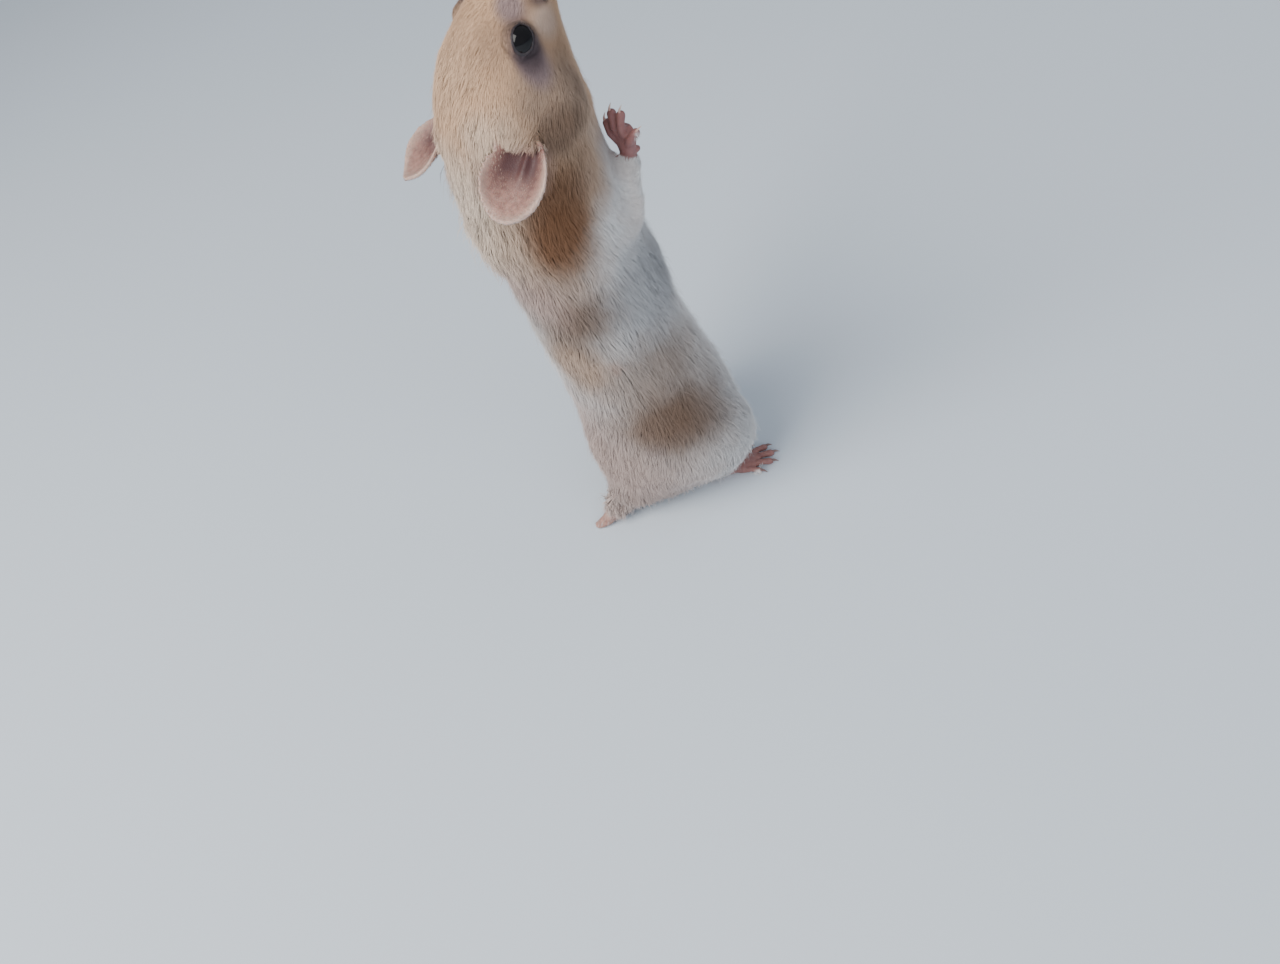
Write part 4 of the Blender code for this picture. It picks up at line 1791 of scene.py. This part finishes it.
@dataclass
class Coat:
    """Locks of fur over the whole skin, each a thin closed blade that tapers to both ends."""

    skin: Object
    growth: Growth
    sockets: list[Socket]
    locks: int = 236_000
    most_in_piece: int = 33_000
    strays: Stray = Stray()
    sag: float = 0.70          # height of a lock's bend, as a share of its tip's
    clump: int = 14            # how many locks lean towards the same one
    pull: float = 0.26         # how far they lean towards it
    evenness: float = 0.85     # how much more thinly long locks are sown than short ones
    thinnest: float = 0.06     # the width of the shortest lock
    widening: float = 0.019    # millimetres of width for each millimetre of length
    root_depth: float = 0.12   # of a lock in the skin, as a share of its length
    roundness: float = 0.28    # how far a lock's normals lean to its sides
    patch: float = 0.003       # how wide a lock's patch is on the unwrap
    unwrap_triangles: int = 14_000
    bands: tuple[tuple[str, float, str], ...] = (
        ("head", 124.0, "coat_apricot"), ("nape", 108.0, "coat_apricot"),
        ("neck", 92.0, "coat_brown"), ("chest", 70.0, "coat_white"),
        ("belly", 46.0, "coat_white"), ("haunch", 24.0, "coat_white"),
        ("rump", -1.0, "coat_white"),
    )

    def _roots(self, draw: np.random.Generator) -> dict[str, np.ndarray]:
        """Where the locks grow, spread so that they cover the skin evenly.

        Args:
            draw: The random numbers.

        Returns:
            The roots' places, the normals there and the skin's surface.
        """
        surface = Surface(self.skin.data)
        normals = surface.normals()
        corners = surface.points[surface.triangles]
        area = np.linalg.norm(np.cross(corners[:, 1] - corners[:, 0],
                                       corners[:, 2] - corners[:, 0]), axis=1) / 2
        middle = corners.mean(axis=1)
        length = self.growth.length(middle)
        cover = self.growth.cover(middle)
        facing = unit(normals[surface.triangles].sum(axis=1))
        for socket in self.sockets:
            cover = np.where(socket.bare(middle), 0.0, cover)
        weight = area * cover / (length * self.width(length)) ** self.evenness
        total = np.cumsum(weight)
        spots = (np.arange(self.locks) + draw.uniform(size=self.locks)) / self.locks
        chosen = np.searchsorted(total, spots * total[-1])
        chosen = np.minimum(chosen, len(total) - 1)
        a, b = draw.uniform(size=(2, self.locks))
        over = a + b > 1.0
        a, b = np.where(over, 1 - a, a), np.where(over, 1 - b, b)
        shares = np.stack((1 - a - b, a, b), axis=1)
        return {
            "point": (corners[chosen] * shares[:, :, None]).sum(axis=1),
            "normal": facing[chosen],
            "surface": surface,
        }

    def width(self, length: np.ndarray) -> np.ndarray:
        """The width of a lock of that length, both in millimetres."""
        return self.thinnest + self.widening * length

    def _unwrap(self) -> tuple[BVHTree, np.ndarray, np.ndarray]:
        """A flat unwrap of the skin's own shape, on a thinned copy of it.

        Returns:
            The copy's tree, the corners of its triangles and their places on the unwrap.
        """
        flat = linked("unwrap", self.skin.data.copy())
        thin(flat, self.unwrap_triangles / len(flat.data.polygons))
        bpy.ops.object.select_all(action="DESELECT")
        flat.select_set(True)
        bpy.context.view_layer.objects.active = flat
        bpy.ops.object.mode_set(mode="EDIT")
        bpy.ops.mesh.select_all(action="SELECT")
        bpy.ops.uv.smart_project(angle_limit=math.radians(75), island_margin=0.004)
        bpy.ops.object.mode_set(mode="OBJECT")
        surface = Surface(flat.data)
        places = table(flat.data.uv_layers.active.data, "uv", 2, np.float32)
        corners = places[table(flat.data.loop_triangles, "loops", 3, np.int32)]
        bpy.data.objects.remove(flat)
        return surface.tree(), surface.points[surface.triangles], corners

    @staticmethod
    def _shares(point: np.ndarray, corners: np.ndarray) -> np.ndarray:
        """Each point's shares of its triangle's three corners.

        Args:
            point: Places, one on each triangle.
            corners: The three corners of each triangle.

        Returns:
            Three shares for each, which add up to 1.
        """
        a, b, c = corners[:, 0], corners[:, 1], corners[:, 2]
        u, v, w = b - a, c - a, point - a
        uu, uv, vv = (u * u).sum(1), (u * v).sum(1), (v * v).sum(1)
        wu, wv = (w * u).sum(1), (w * v).sum(1)
        base = np.maximum(uu * vv - uv * uv, 1e-30)
        second, third = (vv * wu - uv * wv) / base, (uu * wv - uv * wu) / base
        found = np.clip(np.stack((1 - second - third, second, third), axis=1), 0.0, 1.0)
        return found / found.sum(axis=1)[:, None]

    def _lay(self, roots: dict[str, np.ndarray],
             draw: np.random.Generator) -> dict[str, np.ndarray]:
        """Lays each lock along the skin: its root, bend and tip, and its normals.

        Args:
            roots: Where the locks grow.
            draw: The random numbers.

        Returns:
            Arrays with a row for each lock.
        """
        tree = roots["surface"].tree()
        point, normal = roots["point"], roots["normal"]
        count = len(point)
        length = self.growth.length(point) * draw.uniform(0.72, 1.08, count)
        way = self.growth.lie(point)
        way = unit(way - (way * normal).sum(1)[:, None] * normal)
        side = np.cross(normal, way)
        swing = 0.16 * wander(point, wave=9.0, seed=11)
        swing += 0.10 * wander(point, wave=3.0, seed=12)
        stray = draw.uniform(size=count) < self.strays.share
        ruffle = self.growth.ruffle(point)
        swing += draw.normal(0.0, 0.09, count) * np.where(stray, self.strays.swing, 1.0)
        swing += 0.5 * ruffle * wander(point, wave=4.0, seed=14)
        way = way * np.cos(swing)[:, None] + side * np.sin(swing)[:, None]
        layer = draw.uniform(size=count)
        lift = (0.35 + 0.65 * layer) * np.where(stray, self.strays.lift, 1.0)
        lift *= self.growth.rise
        lift *= 1.0 + 0.8 * ruffle
        lift *= 1.0 + 0.15 * wander(point, wave=6.0, seed=13)
        bend = point + way * (length * 0.5 * MM)[:, None]
        tip = point + way * (length * MM)[:, None]
        laid = []
        for places, share in ((bend, self.sag), (tip, 1.0)):
            ground, facing, _ = nearest(tree, places)
            laid.append(ground + facing * (length * lift * share * MM)[:, None])
        bend, tip = laid
        leaders = draw.choice(count, count // self.clump, replace=False)
        heads = KDTree(len(leaders))
        for i, leader in enumerate(leaders.tolist()):
            heads.insert(point[leader], i)
        heads.balance()
        led = leaders[np.array([heads.find(p)[1] for p in point.tolist()])]
        pull = (self.pull * smoothstep(1.5, 6.0, length))[:, None]
        tip += (tip[led] - tip) * pull * draw.uniform(0.2, 1.0, count)[:, None]
        depth = (self.root_depth * length * MM)[:, None].clip(0.1 * MM, 0.5 * MM)
        root = point - normal * depth
        girth = self.width(length) * (1.45 - 0.75 * layer)
        girth *= np.where(stray, self.strays.girth, 1.0)
        return {"root": root, "bend": bend, "tip": tip, "normal": normal,
                "girth": girth, "tone": draw.uniform(size=count)}

    def _piece(self, name: str, lay: dict[str, np.ndarray], chosen: np.ndarray,
               flat: np.ndarray, finish: Material,
               limits: Limits) -> Object:
        """One piece of the coat, of the chosen locks.

        Args:
            name: The piece's name.
            lay: How the locks lie.
            chosen: Which of them it holds.
            flat: Their roots' places on the unwrap.
            finish: The coat's material.
            limits: The box that the coat stays in.

        Returns:
            The piece.
        """
        root, bend, tip = (lay[key][chosen] for key in ("root", "bend", "tip"))
        normal, girth = lay["normal"][chosen], lay["girth"][chosen]
        side = unit(np.cross(normal, unit(tip - root)))
        half = (girth * 0.5 * MM)[:, None]
        count = len(chosen)
        points = np.stack((root, bend - side * half, bend + side * half,
                           bend + normal * half * 0.5, tip), axis=1)
        points = limits.hold(points)
        size = len(BLADE_ALONG)
        loops = (BLADE_FACES[None, :] + size * np.arange(count)[:, None]).ravel()
        mesh = bpy.data.meshes.new(name)
        mesh.vertices.add(count * size)
        mesh.vertices.foreach_set("co", points.astype(np.float32).ravel())
        mesh.loops.add(len(loops))
        mesh.loops.foreach_set("vertex_index", loops.astype(np.int32))
        mesh.polygons.add(len(loops) // 3)
        mesh.polygons.foreach_set("loop_start", np.arange(0, len(loops), 3, dtype=np.int32))
        mesh.update(calc_edges=True)
        layer = mesh.uv_layers.new(name="OFBake")
        where = flat[chosen][:, None, :] + BLADE_UNWRAP[None] * self.patch
        layer.data.foreach_set("uv", where.astype(np.float32).ravel())
        add_field(mesh, "tone", np.repeat(lay["tone"][chosen], size))
        add_field(mesh, "along", np.tile(BLADE_ALONG, count))
        mesh.shade_smooth()
        lean = self.roundness * side
        soft = np.stack((normal, normal - lean, normal + lean, normal, normal), axis=1)
        soft = unit(soft.reshape(-1, 3)).astype(np.float32)
        mesh.normals_split_custom_set_from_vertices(soft)
        mesh.materials.append(finish)
        return linked(name, mesh)

    def build(self, finish: Material,
              limits: Limits) -> list[tuple[Object, str]]:
        """Grows the whole coat.

        Args:
            finish: The coat's material.
            limits: The box that it stays in.

        Returns:
            The pieces, each with its material slot.
        """
        draw = np.random.default_rng(SEED)
        roots = self._roots(draw)
        lay = self._lay(roots, draw)
        tree, spots, corners = self._unwrap()
        ground, _, at_face = nearest(tree, roots["point"])
        shares = self._shares(ground, spots[at_face])
        flat = (corners[at_face] * shares[:, :, None]).sum(axis=1)
        heights, lefts = roots["point"][:, 2] / MM, roots["point"][:, 0] > 0
        pieces, top = [], math.inf
        for name, bottom, slot in self.bands:
            for side in Side:
                inside = (heights >= bottom) & (heights < top) & (lefts == (side.value > 0))
                members = np.flatnonzero(inside)
                parts = max(math.ceil(len(members) / self.most_in_piece), 1)
                for part in range(parts):
                    label = f"coat_{name}_{side.label}" + (f"_{part + 1}" if parts > 1 else "")
                    piece = self._piece(label, lay, members[part::parts], flat, finish, limits)
                    pieces.append((piece, slot))
            top = bottom
        return pieces


@dataclass
class Whiskers:
    """Fine tapered whiskers in rows on one side of the muzzle."""

    side: Side
    pad: Place = (4.4, 14.0, 147.2)
    rows: int = 4
    columns: int = 4
    longest: float = 17.0
    radius: float = 0.045
    steps: int = 8

    def build(self, finish: Material) -> Object:
        """All the whiskers of the side, as one piece.

        Args:
            finish: Their material.

        Returns:
            The piece.
        """
        draw = np.random.default_rng(SEED + self.side.value)
        bm = bmesh.new()
        for row in range(self.rows):
            for column in range(self.columns):
                down, back = row - (self.rows - 1) / 2, column / (self.columns - 1)
                start = Vector(self.pad) + Vector((1.6 * back - 0.6, 0.9 * down - 1.8 * back,
                                                   -0.5 * down - 2.2 * back))
                length = self.longest * (0.45 + 0.55 * back) * draw.uniform(0.85, 1.0)
                way = Vector((1.0, 0.30 * down + 0.10 * back, 0.15 - 0.10 * back - 0.12 * down))
                way = (way + Vector(draw.normal(0.0, 0.06, 3))).normalized()
                bow = Vector((0.0, -0.14, -0.22)) * length
                stations = []
                for k in range(self.steps + 1):
                    t = k / self.steps
                    spot = start + way * length * t + bow * t * t
                    girth = self.radius * (1.0 - 0.85 * t)
                    stations.append((self.side.value * spot.x, -spot.y, spot.z, girth, girth))
                loft(bm, stations, Vector((0, 0, 1)), ON_BODY, segments=5)
        return as_object(f"whiskers_{self.side.label}", turned_out(bm), finish)


@dataclass(frozen=True)
class WhiskerFinish:
    """Pale, half-clear hair."""

    name: str = "whisker"
    colour: Colour = (0.80, 0.76, 0.70)

    def make(self) -> Material:
        """Builds the material."""
        graph = Graph(self.name)
        shade = graph.noise(graph.places(), scale=1.2, detail=1.0)
        return graph.finish({"Base Color": graph.scaled(self.colour, 0.8 + shade * 0.4),
                             "Roughness": 0.4})


# ---- Stage ---------------------------------------------------------------------------


@dataclass
class Studio:
    """A pale floor, soft lights and the viewpoint, above and behind the right side."""

    eye_point: Place = (175.7, -64.0, 218.0)
    turn: float = -16.38      # of the line of sight from +X, in degrees
    pitch: float = -49.06
    roll: float = -26.17
    lens: float = 27.56
    lamp_size: float = 0.7
    target: Place = (0.0, 0.0, 0.08)     # what the lamps look at, in metres
    floor_half: float = 3.0
    floor_colour: Colour = (0.63, 0.705, 0.78)

    def floor(self) -> None:
        """The floor that the animal stands on."""
        bm = bmesh.new()
        bmesh.ops.create_grid(bm, x_segments=1, y_segments=1, size=self.floor_half)
        graph = Graph("floor")
        cloud = graph.noise(graph.raw(), scale=3.0)
        colour = graph.scaled(self.floor_colour, 0.96 + cloud * 0.08)
        finish = graph.finish({"Base Color": colour, "Roughness": 0.6})
        as_object("floor", bm, finish)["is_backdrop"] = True

    def camera(self) -> None:
        """The camera, level with nothing: it looks down and leans to one side."""
        turn, pitch, roll = (math.radians(a) for a in (self.turn, self.pitch, self.roll))
        sight = Vector((math.cos(pitch) * math.cos(turn), math.cos(pitch) * math.sin(turn),
                        math.sin(pitch)))
        level = sight.cross(Vector((0, 0, 1))).normalized()
        upright = level.cross(sight)
        right = level * math.cos(roll) + upright * math.sin(roll)
        top = right.cross(sight)
        place = Matrix((right, top, -sight)).transposed().to_4x4()
        place.translation = at(Side.RIGHT, self.eye_point)
        lens = bpy.data.cameras.new("camera")
        lens.lens = self.lens
        lens.sensor_width = 36.0
        lens.clip_start = 0.005
        camera = linked("camera", lens)
        camera.matrix_world = place
        bpy.context.scene.camera = camera

    def lamp(self, name: str, place: Place, power: float, colour: Colour) -> None:
        """Adds one soft square lamp that looks at the animal.

        Args:
            name: The lamp's name.
            place: Where it is, in metres.
            power: Its power, in watts.
            colour: Its colour.
        """
        light = bpy.data.lights.new(name, "AREA")
        light.size = self.lamp_size
        light.energy = power
        light.color = colour
        lamp = linked(name, light)
        lamp.visible_glossy = name == "key"
        lamp.location = place
        away = Vector(place) - Vector(self.target)
        lamp.rotation_euler = away.to_track_quat("Z", "Y").to_euler()

    def build(self) -> None:
        """Sets the whole stage."""
        self.floor()
        self.camera()
        self.lamp("key", (-0.05, 0.62, 0.72), power=11.5, colour=(1.0, 0.965, 0.92))
        self.lamp("fill", (-0.75, 0.0, 0.55), power=2.8, colour=(0.93, 0.95, 1.0))
        self.lamp("front", (-0.2, -0.8, 0.5), power=0.8, colour=(0.92, 0.95, 1.0))
        world = bpy.data.worlds.new("studio")
        world.use_nodes = True
        backdrop = world.node_tree.nodes["Background"]
        backdrop.inputs["Color"].default_value = (0.84, 0.90, 1.0, 1.0)
        backdrop.inputs["Strength"].default_value = 0.45
        bpy.context.scene.world = world


# ---- The whole animal ----------------------------------------------------------------


def placed(piece: Object, slot: str, *nodes: str) -> None:
    """Lets a finished piece ride on the body, and hides the nodes it stands for.

    Args:
        piece: The piece.
        slot: The name of a material slot; not used.
        nodes: The CAD nodes that it replaces, if any.
    """
    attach(piece, BODY)
    if nodes:
        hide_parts(*nodes)
    log.info("%s: %d faces", piece.name, len(piece.data.polygons))


def main() -> None:
    """Builds the hamster, piece by piece, on its stage."""
    logging.basicConfig(level=logging.INFO, format="%(name)s: %(message)s")
    frame_low, frame_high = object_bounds()
    Studio().build()
    markings = Markings()
    ears = [Ear(Side.RIGHT, (13.0, -5.0, 122.8), (19.2, -18.0, 116.2), (0.62, -0.55, 0.78)),
            Ear(Side.LEFT, (11.8, -7.6, 121.0), (11.4, -25.4, 115.4), (0.14, -0.66, 0.88))]
    growth = Growth(tuple(ears))
    feet = Feet()
    paws = [make(side) for side in Side for make in (feet.forepaw, feet.hind_foot)]
    sockets = [Socket(side) for side in Side]
    skin_piece = Skin(growth, ears, paws, sockets)
    limits = Limits(frame_low, frame_high)
    skin = skin_piece.build(SkinFinish().make(markings), limits)
    placed(skin, "pink_skin", *skin_piece.nodes())
    eye_finish = EyeFinish().make()
    for socket in sockets:
        placed(socket.ball(eye_finish), "dark_eye", f"eye_{socket.side.label}")
    horns = {
        "forepaw": HornFinish("pale_claw", (0.55, 0.32, 0.27), (0.70, 0.58, 0.50)).make(),
        "hind_foot": HornFinish("dark_claw", (0.20, 0.12, 0.11), (0.34, 0.26, 0.24)).make(),
    }
    for paw in paws:
        placed(paw.claws(horns[paw.name]), "pink_skin")
    whisker_finish = WhiskerFinish().make()
    for side in Side:
        placed(Whiskers(side).build(whisker_finish), "coat_white")
    coat = Coat(skin, growth, sockets)
    for piece, slot in coat.build(CoatFinish().make(markings), limits):
        placed(piece, slot)


if __name__ == "__main__":
    main()
